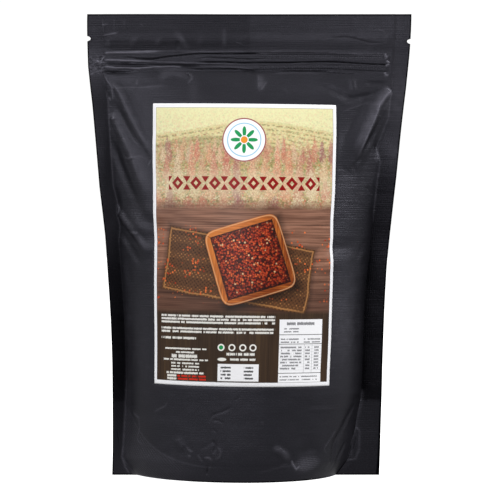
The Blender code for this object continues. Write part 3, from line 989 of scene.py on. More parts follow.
def film_field(axis):
    """A place on the flat film in mm, read from the mesh."""

    def make(tree):
        source = tree.nodes.new("ShaderNodeAttribute")
        source.attribute_name = "flat_mm"
        split = tree.nodes.new("ShaderNodeSeparateXYZ")
        tree.links.new(source.outputs["Vector"], split.inputs[0])
        return Field(tree, split.outputs[axis])

    return make


def label_field(axis, length):
    """A place on the label in mm from its middle, read from its UV map."""

    def make(tree):
        source = tree.nodes.new("ShaderNodeUVMap")
        source.uv_map = "label"
        split = tree.nodes.new("ShaderNodeSeparateXYZ")
        tree.links.new(source.outputs[0], split.inputs[0])
        return (Field(tree, split.outputs[axis]) - 0.5) * (length / MM)

    return make


# The zip's two knurled bands in mm: their middle and half length, their middle height, and each one's place
BAND_ACROSS, BAND_HALF = 41.0, 36.0
BAND_UP, BAND_OFF, BAND_THICK = 228.5, 3.3, 1.5

# The knurled patch near the foot, which also gets painted glints, as middle and radii in mm, and where the
# foot's hatching ends
BRIGHT_PATCH = ((38.5, 9.5), (8.0, 4.0))
HATCH_END = -34.0

# Heights in mm below which the side seals get painted shade, and above which the top gets painted shade
LEFT_FAINT, LEFT_FULL, RIGHT_FULL = 212.0, 112.0, 182.0
SHADED_TOP = 236.0

# Where the dark cut edges begin, in mm
CUT_ACROSS, CUT_TOP, CUT_FOOT = 89.2, 254.2, 0.7


def film_finish(settings):
    """Matt black laminate: fine level streaks, knurled seals, pale marks and a dark cut edge. The pale marks
    are partly whitened lines and partly painted highlights and glints; Metallic paints shade on the side
    seals and the top.
    """
    film = Surface("black film", film_field(0), film_field(1))
    film.shader.inputs["Specular IOR Level"].default_value = settings.gloss
    film.shader.inputs["Specular Tint"].default_value = settings.tint[:]
    # Paleness from the mesh: whitened film and painted highlights
    paleness = film.tree.nodes.new("ShaderNodeAttribute")
    paleness.attribute_name = "whitening_and_highlights"
    white = Field(film.tree, paleness.outputs["Fac"]).held()
    side_seal = abs(film.across).over(PANEL_HALF / MM, 0.8)
    top_seal = film.up.over(TOP_SEAL, 0.8)
    share = abs(film.across) * (MM / PANEL_HALF)
    bottom_line = share * share * share * GUSSET_SEAL_RISE + GUSSET_SEAL_LOW
    bottom_seal = (bottom_line - film.up).over(0.0, 0.8)
    sealed = side_seal.most(top_seal).most(bottom_seal)
    patches = film.grain(14, 9, 3, 2.0)
    streaks = film.grain(30, 0.55, 2, 4.0)
    specks = film.grain(0.5, 0.5, 2, 6.0)
    scratches = film.grain(9, 0.35, 2, 11.0).over(0.68, 0.08) * patches
    turn = math.tau / settings.knurl_pitch
    up_right = ((film.across + film.up) * turn).math("SINE")
    up_left = ((film.across - film.up) * turn).math("SINE")
    zip_band = abs(film.up - 229.0).under(5.0, 0.8) * abs(film.across - BAND_ACROSS).under(BAND_HALF, 2.0)
    bright_patch = film.oval(*BRIGHT_PATCH, 2)
    bands = abs(abs(film.up - BAND_UP) - BAND_OFF).under(BAND_THICK, 0.6) * zip_band
    bands = bands.most(bright_patch)
    dots = up_right * up_left
    knurl = dots * (sealed * film.grain(8, 8, 2, 9.0) * 0.35).most(bands)
    hatch = up_right.over(0.2, 0.8) * bottom_seal * film.across.under(HATCH_END, 6.0)
    film.colour = film.ramp(patches, settings.dark[:], settings.colour[:], settings.pale[:])
    film.paint(sealed * 0.35, settings.pale[:])
    # Paints the paleness in the pale colour: whitened lines and painted highlights, broken by streaks
    film.paint((white * (streaks * 1.7 + specks * 0.5 - 0.1)).held(), settings.stress_and_highlight[:])
    # Painted glints: pale dots on the knurled zip bands and the knurled patch near the foot
    painted_glints = dots.over(0.2, 0.5) * (bands * 0.12 + bright_patch * 0.5)
    film.paint(scratches * 0.14 + hatch * 0.05 + painted_glints, settings.stress_and_highlight[:])
    film.paint((specks - 0.45).held() * (streaks * 0.5 + 0.2), settings.stress_and_highlight[:])
    edge = abs(film.across).over(CUT_ACROSS, 0.3).most(film.up.over(CUT_TOP, 0.3))
    edge = edge.most(film.up.under(CUT_FOOT, 0.3))
    film.paint(edge, settings.cut_edge[:])
    # Painted shade: raising Metallic darkens the lower side seals and the top band, and the cut edge
    on_right = film.across.over(0.0, 1.0)
    left_seal_shade = film.up.under(LEFT_FAINT, 10.0) * 0.14 + film.up.under(LEFT_FULL, 50.0) * 0.6
    left_seal_shade = left_seal_shade * (-on_right + 1.0)
    above_gusset = film.up.over(GUSSET_TOP - 1.0, 2.0) * 0.6 + 0.4
    seal_shade_mask = side_seal * left_seal_shade.most(film.up.under(RIGHT_FULL, 40.0) * on_right) * above_gusset
    painted_top_shade = film.up.over(SHADED_TOP, 6.0) * (on_right * -0.2 + 0.35)
    edge_and_painted_shade = (edge * 0.95).most(seal_shade_mask * settings.painted_seal_shade).most(painted_top_shade)
    film.tree.links.new(edge_and_painted_shade.socket, film.shader.inputs["Metallic"])
    relief = streaks * (film.up.over(70.0, 50.0) * 0.07 + 0.06) + specks * 0.05 + patches * 0.12
    relief = relief + (knurl + hatch * 0.6) * settings.knurl_height
    film.bump(relief)
    return film.finish(patches * 0.10 + (settings.roughness - 0.05) + top_seal * 0.03 - seal_shade_mask * 0.12)


PAPER_WHITE = ink(250, 250, 253)
RULE_LILAC = ink(196, 196, 220)
STRAW = ink(233, 230, 180)
HAY = ink(205, 190, 128)
OLIVE = ink(118, 114, 66)
CREAM = ink(238, 226, 188)
SALMON = ink(232, 144, 118)
ROSE = ink(204, 98, 92)
BRICK = ink(150, 58, 48)
MAUVE = ink(146, 90, 104)
HAZE_ROSE = ink(196, 150, 132)
LEAF_GREEN = ink(24, 150, 84)
RING_BLUE = ink(130, 196, 226)
OCHRE = ink(238, 150, 44)
TITLE_RED = ink(140, 10, 10)
WOOD_DARK = ink(56, 36, 30)
WOOD = ink(124, 84, 66)
WOOD_ROSE = ink(182, 132, 108)
WOOD_LIGHT = ink(222, 172, 138)
CLOTH_DARK = ink(38, 24, 18)
CLOTH = ink(96, 62, 38)
CLOTH_LIGHT = ink(196, 138, 82)
TRAY_DARK = ink(84, 32, 10)
TRAY = ink(168, 80, 26)
TRAY_LIGHT = ink(226, 136, 60)
SEED_DARK = ink(52, 10, 8)
SEED_RED = ink(150, 36, 18)
SEED = ink(196, 66, 30)
SEED_ORANGE = ink(240, 122, 60)
SEED_PALE = ink(238, 190, 142)
PANEL_BROWN = ink(62, 46, 34)
PANEL_DARK = ink(36, 26, 20)
PANEL_LIGHT = ink(88, 68, 44)
TEXT_GREY = ink(242, 240, 234)
TEXT_RED = ink(214, 44, 26)
RULE_GREY = ink(120, 120, 124)
BLACK = ink(14, 11, 10)

# Fields of the print in mm from the label's middle
PRINT_HALF = (49.6, 74.2)
FIELD_FOOT = 21.5
PANEL_TOP = -36.5
DISC_MIDDLE = (0.0, 56.5)
DISC_RADIUS = 12.1
BANNER_UP = 32.7
TRAY_MIDDLE = (4.0, -8.5)
TRAY_HALF = 21.0
TRAY_FRAME = 3.4
TRAY_TURN = math.radians(17)

# Rows of rounded tufts, far to near, in mm: foot, pitch, height, half width and strength
FAR_TUFTS = ((49.0, 4.3, 9.0, 1.9, 0.60), (43.4, 5.3, 13.0, 2.4, 0.70), (33.0, 6.7, 20.0, 3.0, 0.75))
NEAR_TUFTS = ((33.0, 6.7, 20.0, 3.0, 0.75), (23.0, 8.1, 16.0, 3.7, 0.75), (16.0, 9.7, 13.0, 4.6, 0.70))

# Heights on the label in mm where one stretch of the print ends and the next starts, at rows of its mesh
STRETCH_ENDS = (-38.25, 18.12, 43.28)


def paint_tufts(label, foot, pitch, tall, half, strength):
    """A row of rounded seed heads, each with its own tint and a ragged edge."""
    place = (label.across + foot) / pitch
    number = place.math("FLOOR")
    chance, other = label.random(number + foot), label.random(number + (foot + 40.5))
    aside = (place - number - 0.5) * pitch + (chance - 0.5) * (pitch * 0.4)
    rise = (label.up - foot) / (other * (tall * 0.5) + tall * 0.7)
    tip = (-rise + 1.0).held() ** 0.75 * (rise * 4.0).held()
    off_a = aside / half
    ragged = abs(off_a) + (label.grain(0.9, 1.1, 3, foot) - 0.5) * 1.5
    middle, grain = label.cells(0.75, foot)
    tint = label.ramp(chance, CREAM, SALMON, STRAW, ROSE, CREAM, MAUVE, SALMON)
    lit = label.mix(tint, CREAM, (grain * 1.8 - 0.9).held() * 0.8)
    shaded = label.mix(lit, BRICK, (middle * 1.6 - 0.4 + off_a * 0.15).held() * 0.65)
    label.paint(ragged.under(tip, 0.3) * rise.under(1.0, 0.1) * strength, shaded)


def paint_hills(label):
    """The upper field: a pale sky over furrowed hills."""
    rise = (label.up - FIELD_FOOT) / (PRINT_HALF[1] - FIELD_FOOT)
    clouds = label.grain(18, 8, 4, 1.0)
    label.colour = label.ramp((rise + (clouds - 0.5) * 0.3).held(), HAZE_ROSE, HAY, STRAW, STRAW)
    for slope, start, level, tone, shift in ((0.05, 1.2, 63.0, HAY, 2.0), (-0.06, 0.4, 55.0, OLIVE, 4.0)):
        ridge = (label.across * slope + start).math("SINE") * 3.5 + level
        waver = (label.grain(6, 2, 2, shift) - 0.5) * 3.0
        rows = ((label.up - ridge) * 2.6 + waver).math("SINE") * 0.5 + 0.5
        shrubs, _ = label.cells(1.5, shift, 1.6)
        hill = label.up.under(ridge, 1.0)
        label.paint(hill * 0.45, tone)
        label.paint(hill * rows * shrubs.under(0.5, 0.25) * 0.75, OLIVE)
    middle, grain = label.cells(0.9, 3.0)
    speckle = label.ramp(grain, OLIVE, CREAM, ROSE, HAY, SALMON)
    label.paint((-rise + 1.15).held() * middle.under(0.6, 0.3) * 0.8, speckle)


def paint_far_tufts(label):
    for row in FAR_TUFTS:
        paint_tufts(label, *row)


def paint_near_tufts(label):
    for row in NEAR_TUFTS:
        paint_tufts(label, *row)
    haze = (abs(label.up - BANNER_UP) / 7.0).under(0.9, 0.9)
    label.paint(haze * 0.30, CREAM)


def paint_emblem(label):
    """A plain white disc with two thin rings and a rosette of eight petals."""
    off_a, off_b = label.across - DISC_MIDDLE[0], label.up - DISC_MIDDLE[1]
    reach = (off_a * off_a + off_b * off_b).math("SQRT")
    label.paint(reach.under(DISC_RADIUS, 0.2), PAPER_WHITE)
    label.paint(abs(reach - DISC_RADIUS + 0.35).under(0.32, 0.16), BRICK)
    label.paint(abs(reach - DISC_RADIUS + 3.0).under(0.25, 0.16), RING_BLUE)
    angle = off_b.math("ARCTAN2", off_a)
    petal = reach - abs((angle * 4.0).math("COSINE")) * 7.4
    label.paint(petal.under(0.0, 0.3) * reach.over(2.4, 0.2), LEAF_GREEN)
    label.paint(reach.under(1.9, 0.2), OCHRE)


def paint_banner(label):
    """A dark red border of bold lozenges with pairs of wedges between them."""
    half, pitch = 42.0, 10.5
    inside = abs(label.across).under(half, 0.14)
    off = abs(label.up - BANNER_UP)
    place = (label.across + half) / pitch
    aside = abs(place - place.math("FLOOR") - 0.5) * pitch
    lozenge = (aside / 3.3 + off / 3.7).under(1.0, 0.05) * (aside / 1.25 + off / 1.4).over(1.0, 0.1)
    between = -aside + pitch / 2
    wedge = (between / 2.1 + (-off + 3.7) / 3.3).under(1.0, 0.07) * off.under(3.7, 0.14)
    label.paint(lozenge.most(wedge) * inside, TITLE_RED)


def paint_table(label):
    """A table top with long level grain, rosy where it is lit and dark near the lower panel."""
    grain = label.grain(26, 0.8, 5, 13.0)
    rings = label.grain(34, 3.0, 3, 17.0)
    wood = label.ramp((grain * 0.9 + rings * 0.7 - 0.35).held(), WOOD_DARK, WOOD, WOOD_ROSE, WOOD_LIGHT)
    pitch = 12.4
    number = ((label.up + 2.0) / pitch).math("FLOOR")
    joint = abs((label.up + 2.0) / pitch - number - 0.5) * pitch
    board = label.mix(wood, BLACK, joint.over(pitch / 2 - 0.22, 0.3) * 0.6)
    board = label.mix(board, WOOD_DARK, label.random(number + 5.0) * 0.3)
    faded = label.grain(9, 4, 3, 21.0) * 5.0 - 2.5
    table = (label.up + faded).under(FIELD_FOOT, 6.0)
    label.paint(table, board)
    label.paint(table * label.up.under(-16.0, 34.0) * 0.6, WOOD_DARK)


def turned(label, middle, turn):
    """Distances in mm from a middle along two axes turned by an angle."""
    off_a, off_b = label.across - middle[0], label.up - middle[1]
    return (
        off_a * math.cos(turn) + off_b * math.sin(turn),
        off_b * math.cos(turn) - off_a * math.sin(turn),
    )


def paint_cloth(label):
    """A coarse dark cloth of woven strands with pale frayed edges, under the tray."""
    u, v = turned(label, (-3.0, -14.0), math.radians(-9))
    wave = (label.grain(16, 16, 2, 29.0) - 0.5) * 3.0
    out = (abs(u + wave) - 41.0).most(abs(v + wave) - 17.5)
    cloth = out.under(0.0, 0.3)
    weft = ((u + wave) * (math.pi / 1.1)).math("SINE")
    warp = ((v + wave) * (math.pi / 1.1)).math("SINE")
    strand = label.grain(1.1, 1.1, 3, 33.0)
    stripe = (v * (math.tau / 8.8)).math("SINE").over(0.2, 0.4)
    level = weft * warp * 0.28 + strand * 0.9 - 0.12 + stripe * 0.22
    weave = label.ramp(level.held(), CLOTH_DARK, CLOTH, CLOTH, CLOTH_LIGHT)
    label.paint(out.under(1.0, 3.5) * 0.6, BLACK)
    label.paint(cloth, weave)
    label.paint(abs(out + 1.2).under(0.4, 0.3) * cloth * 0.6, CLOTH_LIGHT)


def seed_colour(label, size, shift, shade):
    """Small round seeds side by side, each with its own tone and a darker rim."""
    middle, chance = label.cells(size, shift)
    tone = label.ramp(chance, SEED_DARK, SEED_RED, SEED, SEED, SEED_ORANGE)
    pale = label.mix(tone, SEED_PALE, chance.over(0.975, 0.01))
    rimmed = label.mix(pale, SEED_DARK, (middle * 2.4 - 0.75).held())
    return label.mix(rimmed, SEED_DARK, shade)


def paint_tray(label):
    """A square wooden tray full of seeds, seen from above, with a soft shadow and loose seeds round it."""
    u, v = turned(label, TRAY_MIDDLE, TRAY_TURN)
    square = abs(u).most(abs(v))
    round_off = ((u / TRAY_HALF) ** 8.0 + (v / TRAY_HALF) ** 8.0) ** 0.125 * TRAY_HALF
    low_u, low_v = turned(label, (TRAY_MIDDLE[0] + 1.5, TRAY_MIDDLE[1] - 2.5), TRAY_TURN)
    label.paint(abs(low_u).most(abs(low_v)).under(TRAY_HALF + 0.5, 5.0) * 0.8, BLACK)
    along = label.mix(
        label.ramp((label.grain(0.8, 9, 4, 23.0) * 2.4 - 0.7).held(), TRAY_DARK, TRAY, TRAY_LIGHT),
        label.ramp((label.grain(9, 0.8, 4, 25.0) * 2.4 - 0.7).held(), TRAY_DARK, TRAY, TRAY_LIGHT),
        (abs(v) - abs(u)).over(0.0, 0.1),
    )
    lit = ((v - u) * (0.35 / TRAY_HALF) + 0.3).held()
    frame = label.mix(along, TRAY_LIGHT, lit * 0.7)
    frame = label.mix(frame, TRAY_DARK, (-lit + 0.35).held() * 1.4)
    frame = label.mix(frame, TRAY_DARK, abs(abs(u) - abs(v)).under(0.16, 0.12) * 0.8)
    label.paint(round_off.under(TRAY_HALF, 0.25), frame)
    edge = TRAY_HALF - TRAY_FRAME
    label.paint(abs(round_off - TRAY_HALF + 0.5).under(0.25, 0.3) * 0.5, SEED_PALE)
    depth = (square / edge) ** 4.0
    shade = (depth * 0.55 + (u - v) * 0.006).held()
    label.paint(square.under(edge, 0.25), seed_colour(label, 1.0, 31.0, shade))
    label.paint(square.under(edge, 0.2) * square.over(edge - 1.1, 1.4) * 0.65, BLACK)
    middle, chance = label.cells(1.5, 37.0)
    loose = middle.under(0.36, 0.08) * chance.over(0.5, 0.02) * label.grain(11, 8, 2, 41.0).over(0.52, 0.04)
    around = square.over(TRAY_HALF + 2.0, 3.0) * abs(label.up + 11.0).under(20.0, 3.0)
    label.paint(loose * around, label.ramp(chance * 2.0 - 1.0, SEED, SEED_ORANGE, SEED_RED))


def paint_rows(label, rows, pitch, thick, colour, shift):
    """Broken rows that stand where small print would: (left, right, top, count) of each block."""
    ragged = label.grain(0.38, 0.5, 1, shift + 5.0)
    for left, right, top, count in rows:
        place = (-label.up + top) / pitch
        number = place.math("FLOOR")
        off = abs(place - number - 0.5) * pitch
        breaks = label.noise_at(label.across / 1.5, number * 3.7, shift + top).over(0.40, 0.03)
        inside = label.box((left, top - pitch * count), (right, top))
        marks = (off - ragged * thick).under(0.0, 0.12)
        label.paint(marks * inside * breaks * 0.9, colour)


def paint_panel_wood(label):
    """The lower panel's dark upright grain."""
    grain = label.grain(0.7, 30, 5, 43.0)
    bands = label.grain(5.5, 90, 2, 47.0)
    wood = label.ramp((grain * 0.9 + bands * 0.9 - 0.4).held(), PANEL_DARK, PANEL_BROWN, PANEL_LIGHT)
    label.paint(label.up.under(PANEL_TOP, 2.6), wood)


def paint_small_print(label):
    """What stands on the lower panel: broken rows, marks and two white boxes."""
    paint_rows(label, ((-46.5, 17.5, -38.2, 3), (-46.5, 17.5, -45.0, 2)), 1.72, 1.05, TEXT_GREY, 1.0)
    paint_rows(label, ((-46.5, -25, -50.2, 1),), 1.72, 1.15, TEXT_GREY, 6.0)
    centred = ((-44, -19, -56.0, 1), (-37, -26, -57.9, 1), (-45, -18, -61.9, 1), (-40, -23, -63.8, 3))
    paint_rows(label, centred, 1.72, 0.85, TEXT_GREY, 2.0)
    paint_rows(label, ((-40, -24, -59.7, 1),), 2.3, 1.7, TEXT_GREY, 8.0)
    paint_rows(label, ((-43, -20, -69.0, 1),), 1.72, 1.05, TEXT_GREY, 9.0)
    paint_rows(label, ((-36, -19, -70.7, 1), (-36, -19, -72.3, 1)), 1.6, 0.95, TEXT_RED, 3.0)
    paint_rows(label, ((-42.5, -36.5, -70.7, 2),), 1.6, 1.1, TEXT_GREY, 4.0)
    rings = ((-11.0, LEAF_GREEN), (-5.2, PANEL_BROWN), (0.6, PANEL_BROWN), (6.0, PANEL_BROWN))
    for middle, colour in rings:
        label.paint(label.oval((middle, -55.6), (1.9, 1.9)), TEXT_GREY)
        label.paint(label.oval((middle, -55.6), (1.15, 1.15)), colour)
    paint_rows(label, ((-8.0, 7.0, -58.2, 1),), 1.9, 1.4, TEXT_GREY, 11.0)
    label.paint(label.oval((-10.4, -62.0), (2.4, 0.9)), TEXT_GREY)
    paint_rows(label, ((-6.0, 7.5, -61.1, 1),), 1.72, 1.1, TEXT_GREY, 12.0)
    label.paint(label.box((-12.6, -73.6), (9.4, -64.4)), PAPER_WHITE)
    paint_rows(label, ((-11, -5.5, -65.4, 4), (1.5, 6.5, -65.4, 4)), 1.9, 0.95, BLACK, 14.0)
    paint_ruled_box(label, (20.0, -74.2), (45.2, -40.4))


def paint_ruled_box(label, low, high):
    """A white box ruled into parts and columns, with broken grey rows in them."""
    inside = label.box(low, high)
    label.paint(inside, PAPER_WHITE)
    paint_rows(label, ((low[0] + 4, high[0] - 5, high[1] - 1.3, 1),), 2.0, 1.5, RULE_GREY, 17.0)
    blocks = ((low[0] + 2.5, 31, -44.6, 2), (low[0] + 0.8, 31, -50.2, 2), (34, high[0] - 1, -50.2, 2))
    paint_rows(label, blocks, 1.6, 0.7, RULE_GREY, 18.0)
    paint_rows(label, ((low[0] + 0.8, 33, -54.6, 8), (35, 38, -54.6, 8), (40.5, 43.5, -54.6, 8)), 1.62, 0.8,
               RULE_GREY, 19.0)
    paint_rows(label, ((low[0] + 0.8, 32, -70.2, 2), (33, 43, -70.2, 2)), 1.7, 0.6, RULE_GREY, 20.0)
    for level in (-48.6, -53.6, -69.2):
        label.paint(abs(label.up - level).under(0.16, 0.12) * inside, BLACK)
    columns = abs(label.across - 34.4).least(abs(label.across - 39.2)).under(0.1, 0.12)
    label.paint(columns * label.box((low[0], -69.2), (high[0], -53.6)) * 0.7, RULE_GREY)
    pitch = 1.62
    place = (label.up + 54.6) / pitch
    lines = abs(place - place.math("FLOOR") - 0.5).over(0.44, 0.05)
    label.paint(lines * label.box((low[0], -68.8), (high[0], -54.4)) * 0.35, RULE_GREY)


def paint_margin(label):
    """The white margin round the print, with a thin dark outline and a pale rule."""
    low, high = [-value for value in PRINT_HALF], PRINT_HALF
    label.paint(-label.box(low, high) + 1.0, PAPER_WHITE)
    at_print = (abs(label.across) - PRINT_HALF[0]).most(abs(label.up) - PRINT_HALF[1])
    label.paint(abs(at_print - 0.05).under(0.13, 0.12) * 0.55, BLACK)
    label.paint(abs(at_print - 0.95).under(0.10, 0.14) * 0.4, RULE_LILAC)


def print_part(name, settings, layers):
    """One level stretch of the print, on glossy coated paper."""
    label = Surface(name, label_field(0, LABEL_WIDTH), label_field(1, LABEL_HEIGHT))
    label.shader.inputs["Specular IOR Level"].default_value = settings.gloss
    label.colour = HAY
    for layer in layers:
        layer(label)
    paint_margin(label)
    label.bump(label.grain(1.1, 1.1, 2, 3.0) * 0.006 + label.grain(12, 12, 1, 8.0) * 0.05)
    return label.finish(label.grain(6, 6, 2, 12.0) * 0.08 + (settings.roughness - 0.04))


def label_finish(settings):
    """The print's stretches, from the foot up, each a material of its own."""
    stretches = {
        "printed foot": (paint_panel_wood, paint_small_print),
        "printed middle": (paint_table, paint_cloth, paint_tray, paint_panel_wood),
        "printed field": (paint_hills, paint_near_tufts, paint_table, paint_banner),
        "printed sky": (paint_hills, paint_far_tufts, paint_emblem),
    }
    return [print_part(name, settings, layers) for name, layers in stretches.items()]


def plain_paper():
    """The label's cut rim and its back."""
    paper = Surface("plain paper", film_field(0), film_field(1))
    paper.colour = paper.ramp(paper.grain(2, 2, 2), ink(225, 225, 228), ink(244, 244, 246))
    paper.shader.inputs["Roughness"].default_value = 0.6
    return paper.finish()


def make_label_mesh():
    """The label's sheet, bent round the front of the bag."""
    columns = grid_lines(((-LABEL_WIDTH / 2, LABEL_WIDTH / 2, LABEL_CELLS[0]),))
    rows = grid_lines(((-LABEL_HEIGHT / 2, LABEL_HEIGHT / 2, LABEL_CELLS[1]),))
    mesh = bmesh.new()
    add_sheet(mesh, columns, rows, lambda a, b: (a, 0.0, b))
    flat = np.array([v.co for v in mesh.verts])
    a, b = flat[:, 0], flat[:, 2]
    real = LABEL_MIDDLE[0] + a * math.cos(LABEL_TILT) - b * math.sin(LABEL_TILT)
    height = LABEL_MIDDLE[1] + a * math.sin(LABEL_TILT) + b * math.cos(LABEL_TILT)
    real = real + label_shift(a / LABEL_WIDTH + 0.5, height / MM) * MM
    across = even_across(real, height)
    places, _ = film_places(across, height, FRONT, LABEL_GAP, bare=False)
    uv = mesh.loops.layers.uv.new("label")
    layer = mesh.verts.layers.float_vector.new("flat_mm")
    for face in mesh.faces:
        middle = face.calc_center_median().z / MM
        face.material_index = sum(middle > end for end in STRETCH_ENDS)
        for loop in face.loops:
            loop[uv].uv = (loop.vert.co.x / LABEL_WIDTH + 0.5, loop.vert.co.z / LABEL_HEIGHT + 0.5)
    for vertex, place, u, z in zip(mesh.verts, places, across, height):
        vertex.co = place
        vertex[layer] = Vector((u / MM, z / MM, FRONT))
    bmesh.ops.recalc_face_normals(mesh, faces=mesh.faces)
    if sum(face.normal.y for face in mesh.faces) > 0:
        bmesh.ops.reverse_faces(mesh, faces=mesh.faces)
    return mesh


class FilmSettings(bpy.types.PropertyGroup):
    """The black film."""

    colour: bpy.props.FloatVectorProperty(
        name="Film Colour",
        description="The film's usual colour",
        subtype="COLOR",
        size=4,
        min=0,
        max=1,
        default=(0.0050, 0.0048, 0.0062, 1),
    )
    dark: bpy.props.FloatVectorProperty(
        name="Dark Patches",
        description="The film's colour where it is darkest",
        subtype="COLOR",
        size=4,
        min=0,
        max=1,
        default=(0.0036, 0.0034, 0.0045, 1),
    )
    pale: bpy.props.FloatVectorProperty(
        name="Pale Patches",
        description="The film's colour where it is rubbed or knurled",
        subtype="COLOR",
        size=4,
        min=0,
        max=1,
        default=(0.0085, 0.0082, 0.0105, 1),
    )
    # Pale colour of whitened lines, also used for painted highlights and glints
    stress_and_highlight: bpy.props.FloatVectorProperty(
        name="Stress Marks And Highlights",
        description="The colour of whitened crease lines",
        subtype="COLOR",
        size=4,
        min=0,
        max=1,
        default=(0.097, 0.094, 0.114, 1),
    )
    cut_edge: bpy.props.FloatVectorProperty(
        name="Cut Edge",
        description="The colour along the film's cut edges",
        subtype="COLOR",
        size=4,
        min=0,
        max=1,
        default=(0.002, 0.002, 0.003, 1),
    )
    tint: bpy.props.FloatVectorProperty(
        name="Reflection Tint",
        description="The colour that the film gives to what it reflects",
        subtype="COLOR",
        size=4,
        min=0,
        max=1,
        default=(0.835, 0.82, 1.0, 1),
    )
    roughness: bpy.props.FloatProperty(
        name="Roughness", description="How matt the film is", subtype="FACTOR", min=0, max=1, default=0.40
    )
    gloss: bpy.props.FloatProperty(
        name="Gloss",
        description="Strength of the film's reflections",
        subtype="FACTOR",
        min=0,
        max=1,
        default=0.41,
    )
    # Painted shade on the side seals, made by raising Metallic
    painted_seal_shade: bpy.props.FloatProperty(
        name="Painted Seal Shade",
        description="How dark the side seals are",
        subtype="FACTOR",
        min=0,
        max=1,
        default=0.9,
    )
    knurl_pitch: bpy.props.FloatProperty(
        name="Knurl Pitch",
        description="Distance between the knurl's lines in mm",
        min=0.5,
        max=4,
        default=2.0,
    )
    knurl_height: bpy.props.FloatProperty(
        name="Knurl Height", description="Height of the knurl in mm", min=0, max=0.5, default=0.10
    )


class LabelSettings(bpy.types.PropertyGroup):
    """The printed label."""

    roughness: bpy.props.FloatProperty(
        name="Roughness",
        description="How matt the paper is",
        subtype="FACTOR",
        min=0,
        max=1,
        default=0.32,
    )
    gloss: bpy.props.FloatProperty(
        name="Gloss",
        description="Strength of the paper's reflections",
        subtype="FACTOR",
        min=0,
        max=1,
        default=0.2,
    )


class StudioSettings(bpy.types.PropertyGroup):
    """The camera, the lights and the floor."""

    distance: bpy.props.FloatProperty(
        name="Camera Distance", description="From the seals to the camera", unit="LENGTH", default=1.2
    )
    camera_height: bpy.props.FloatProperty(
        name="Camera Height", description="Above the floor", unit="LENGTH", default=0.139
    )
    aim_height: bpy.props.FloatProperty(
        name="Aim Height", description="Height of the point it looks at", unit="LENGTH", default=0.1246
    )
    view_angle: bpy.props.FloatProperty(
        name="View Angle",
        description="The camera's field of view",
        subtype="ANGLE",
        default=math.radians(13.16),
    )
    light_distance: bpy.props.FloatProperty(
        name="Light Distance", description="From the pouch to each softbox", unit="LENGTH", default=2.0
    )
    light_size: bpy.props.FloatProperty(
        name="Light Size", description="Side of each square softbox", unit="LENGTH", default=0.9
    )
    light_power: bpy.props.FloatProperty(
        name="Light Power", description="Share of each softbox's usual power", min=0, default=1.0
    )
    room: bpy.props.FloatProperty(
        name="Room", description="Brightness of the room around", min=0, default=0.38
    )


class POUCH_OT_film_bag(bpy.types.Operator):
    """Builds the full bag of black film, with its seals, zip, notches, folds and bottom gusset"""

    bl_idname = "pouch.film_bag"
    bl_label = "Film Bag"

    def execute(self, context):
        mesh = flat_bag()
        shape_film(mesh)
        bag = new_piece("film_bag", mesh, [film_finish(context.scene.pouch_film)])
        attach(bag, "root")
        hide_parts("pouch")
        return {"FINISHED"}


class POUCH_OT_printed_label(bpy.types.Operator):
    """Builds the large paper label on the front, with its print"""

    bl_idname = "pouch.printed_label"
    bl_label = "Printed Label"

    def execute(self, context):
        materials = [*label_finish(context.scene.pouch_label), plain_paper()]
        label = new_piece("printed_label", make_label_mesh(), materials)
        paper = label.modifiers.new("paper", "SOLIDIFY")
        paper.thickness = LABEL_THICKNESS
        paper.offset = 1.0
        paper.material_offset = len(materials) - 1
        paper.material_offset_rim = len(materials) - 1
        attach(label, "root")
        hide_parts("label")
        return {"FINISHED"}


# Each softbox: degrees round from the camera, degrees up, and watts
SOFTBOXES = {
    "high right": (75, 35, 29.5),
    "high left": (-75, 35, 12.5),
    "high front": (-20, 35, 2.2),
    "front": (-10, 20, 7.0),
    "overhead": (0, 75, 1.5),
    "left": (-48, 20, 5.0),
    "back left": (-140, 30, 14.0),
    "back right": (140, 30, 14.0),
}
SEEN_WHITE = 1.05
FLOOR_HALF = 8.0


def add_softbox(name, round_degrees, up_degrees, watts, settings, aim):
    """A large square light that faces the pouch."""
    data = bpy.data.lights.new(name, "AREA")
    data.shape = "SQUARE"
    data.size = settings.light_size
    data.energy = watts * settings.light_power
    turn, rise = math.radians(round_degrees), math.radians(up_degrees)
    out = Vector((math.sin(turn) * math.cos(rise), -math.cos(turn) * math.cos(rise), math.sin(rise)))
    light = bpy.data.objects.new(name, data)
    light.location = Vector(aim) + out * settings.light_distance
    light.rotation_euler = out.to_track_quat("Z", "Y").to_euler()
    bpy.context.scene.collection.objects.link(light)


def light_the_room(brightness):
    """An even dim room, which is plain white where the camera sees it."""
    world = bpy.data.worlds.new("room")
    bpy.context.scene.world = world
    world.use_nodes = True
    tree = world.node_tree
    tree.nodes.clear()
    rays = tree.nodes.new("ShaderNodeLightPath")
    seen = Field(tree, rays.outputs["Is Camera Ray"])
    strength = seen * (SEEN_WHITE - brightness) + brightness
    back = tree.nodes.new("ShaderNodeBackground")
    back.inputs["Color"].default_value = (1, 1, 1, 1)
    tree.links.new(strength.socket, back.inputs["Strength"])
    out = tree.nodes.new("ShaderNodeOutputWorld")
    tree.links.new(back.outputs[0], out.inputs["Surface"])


def floor_finish():
    """A plain white floor with a faint sheen."""
    material = bpy.data.materials.new("white floor")
    material.use_nodes = True
    shader = material.node_tree.nodes["Principled BSDF"]
    shader.inputs["Base Color"].default_value = (0.9, 0.9, 0.9, 1)
    shader.inputs["Roughness"].default_value = 0.08
    shader.inputs["IOR"].default_value = 2.2
    shader.inputs["Emission Color"].default_value = (1, 1, 1, 1)
    shader.inputs["Emission Strength"].default_value = 1.0
    return material


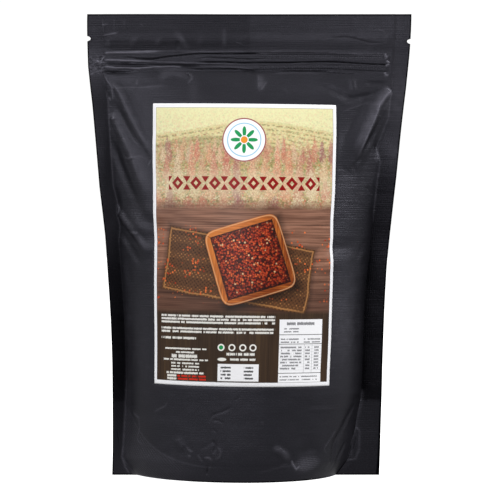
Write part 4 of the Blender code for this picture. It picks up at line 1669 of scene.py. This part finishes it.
class POUCH_OT_studio(bpy.types.Operator):
    """Builds the plain pale floor, the soft lights and the camera"""

    bl_idname = "pouch.studio"
    bl_label = "Studio"

    def execute(self, context):
        settings = context.scene.pouch_studio
        mesh = bmesh.new()
        bmesh.ops.create_grid(mesh, x_segments=8, y_segments=8, size=FLOOR_HALF)
        floor = new_piece("floor", mesh, [floor_finish()])
        floor.visible_diffuse = False
        floor.visible_glossy = False
        aim = (0.0, 0.0, settings.aim_height)
        for name, place in SOFTBOXES.items():
            add_softbox(name, *place, settings, aim)
        light_the_room(settings.room)
        data = bpy.data.cameras.new("camera")
        data.angle = settings.view_angle
        camera = bpy.data.objects.new("camera", data)
        camera.location = (0.0, -settings.distance, settings.camera_height)
        camera.rotation_euler = (Vector(aim) - camera.location).to_track_quat("-Z", "Y").to_euler()
        context.scene.collection.objects.link(camera)
        context.scene.camera = camera
        context.scene.view_settings.view_transform = "Standard"
        return {"FINISHED"}


class POUCH_PT_panel(bpy.types.Panel):
    """Lists the pieces and their settings"""

    bl_label = "Stand-up Pouch"
    bl_idname = "POUCH_PT_panel"
    bl_space_type = "VIEW_3D"
    bl_region_type = "UI"
    bl_category = "Pouch"

    def draw(self, context):
        groups = (
            (POUCH_OT_film_bag, context.scene.pouch_film),
            (POUCH_OT_printed_label, context.scene.pouch_label),
            (POUCH_OT_studio, context.scene.pouch_studio),
        )
        for operator, settings in groups:
            box = self.layout.box()
            box.operator(operator.bl_idname)
            for name in settings.__annotations__:
                box.prop(settings, name)


CLASSES = (
    FilmSettings,
    LabelSettings,
    StudioSettings,
    POUCH_OT_film_bag,
    POUCH_OT_printed_label,
    POUCH_OT_studio,
    POUCH_PT_panel,
)


def register():
    for each in CLASSES:
        bpy.utils.register_class(each)
    bpy.types.Scene.pouch_film = bpy.props.PointerProperty(type=FilmSettings)
    bpy.types.Scene.pouch_label = bpy.props.PointerProperty(type=LabelSettings)
    bpy.types.Scene.pouch_studio = bpy.props.PointerProperty(type=StudioSettings)


def unregister():
    del bpy.types.Scene.pouch_film
    del bpy.types.Scene.pouch_label
    del bpy.types.Scene.pouch_studio
    for each in reversed(CLASSES):
        bpy.utils.unregister_class(each)


def main():
    register()
    bpy.ops.pouch.film_bag()
    bpy.ops.pouch.printed_label()
    bpy.ops.pouch.studio()


if __name__ == "__main__":
    main()
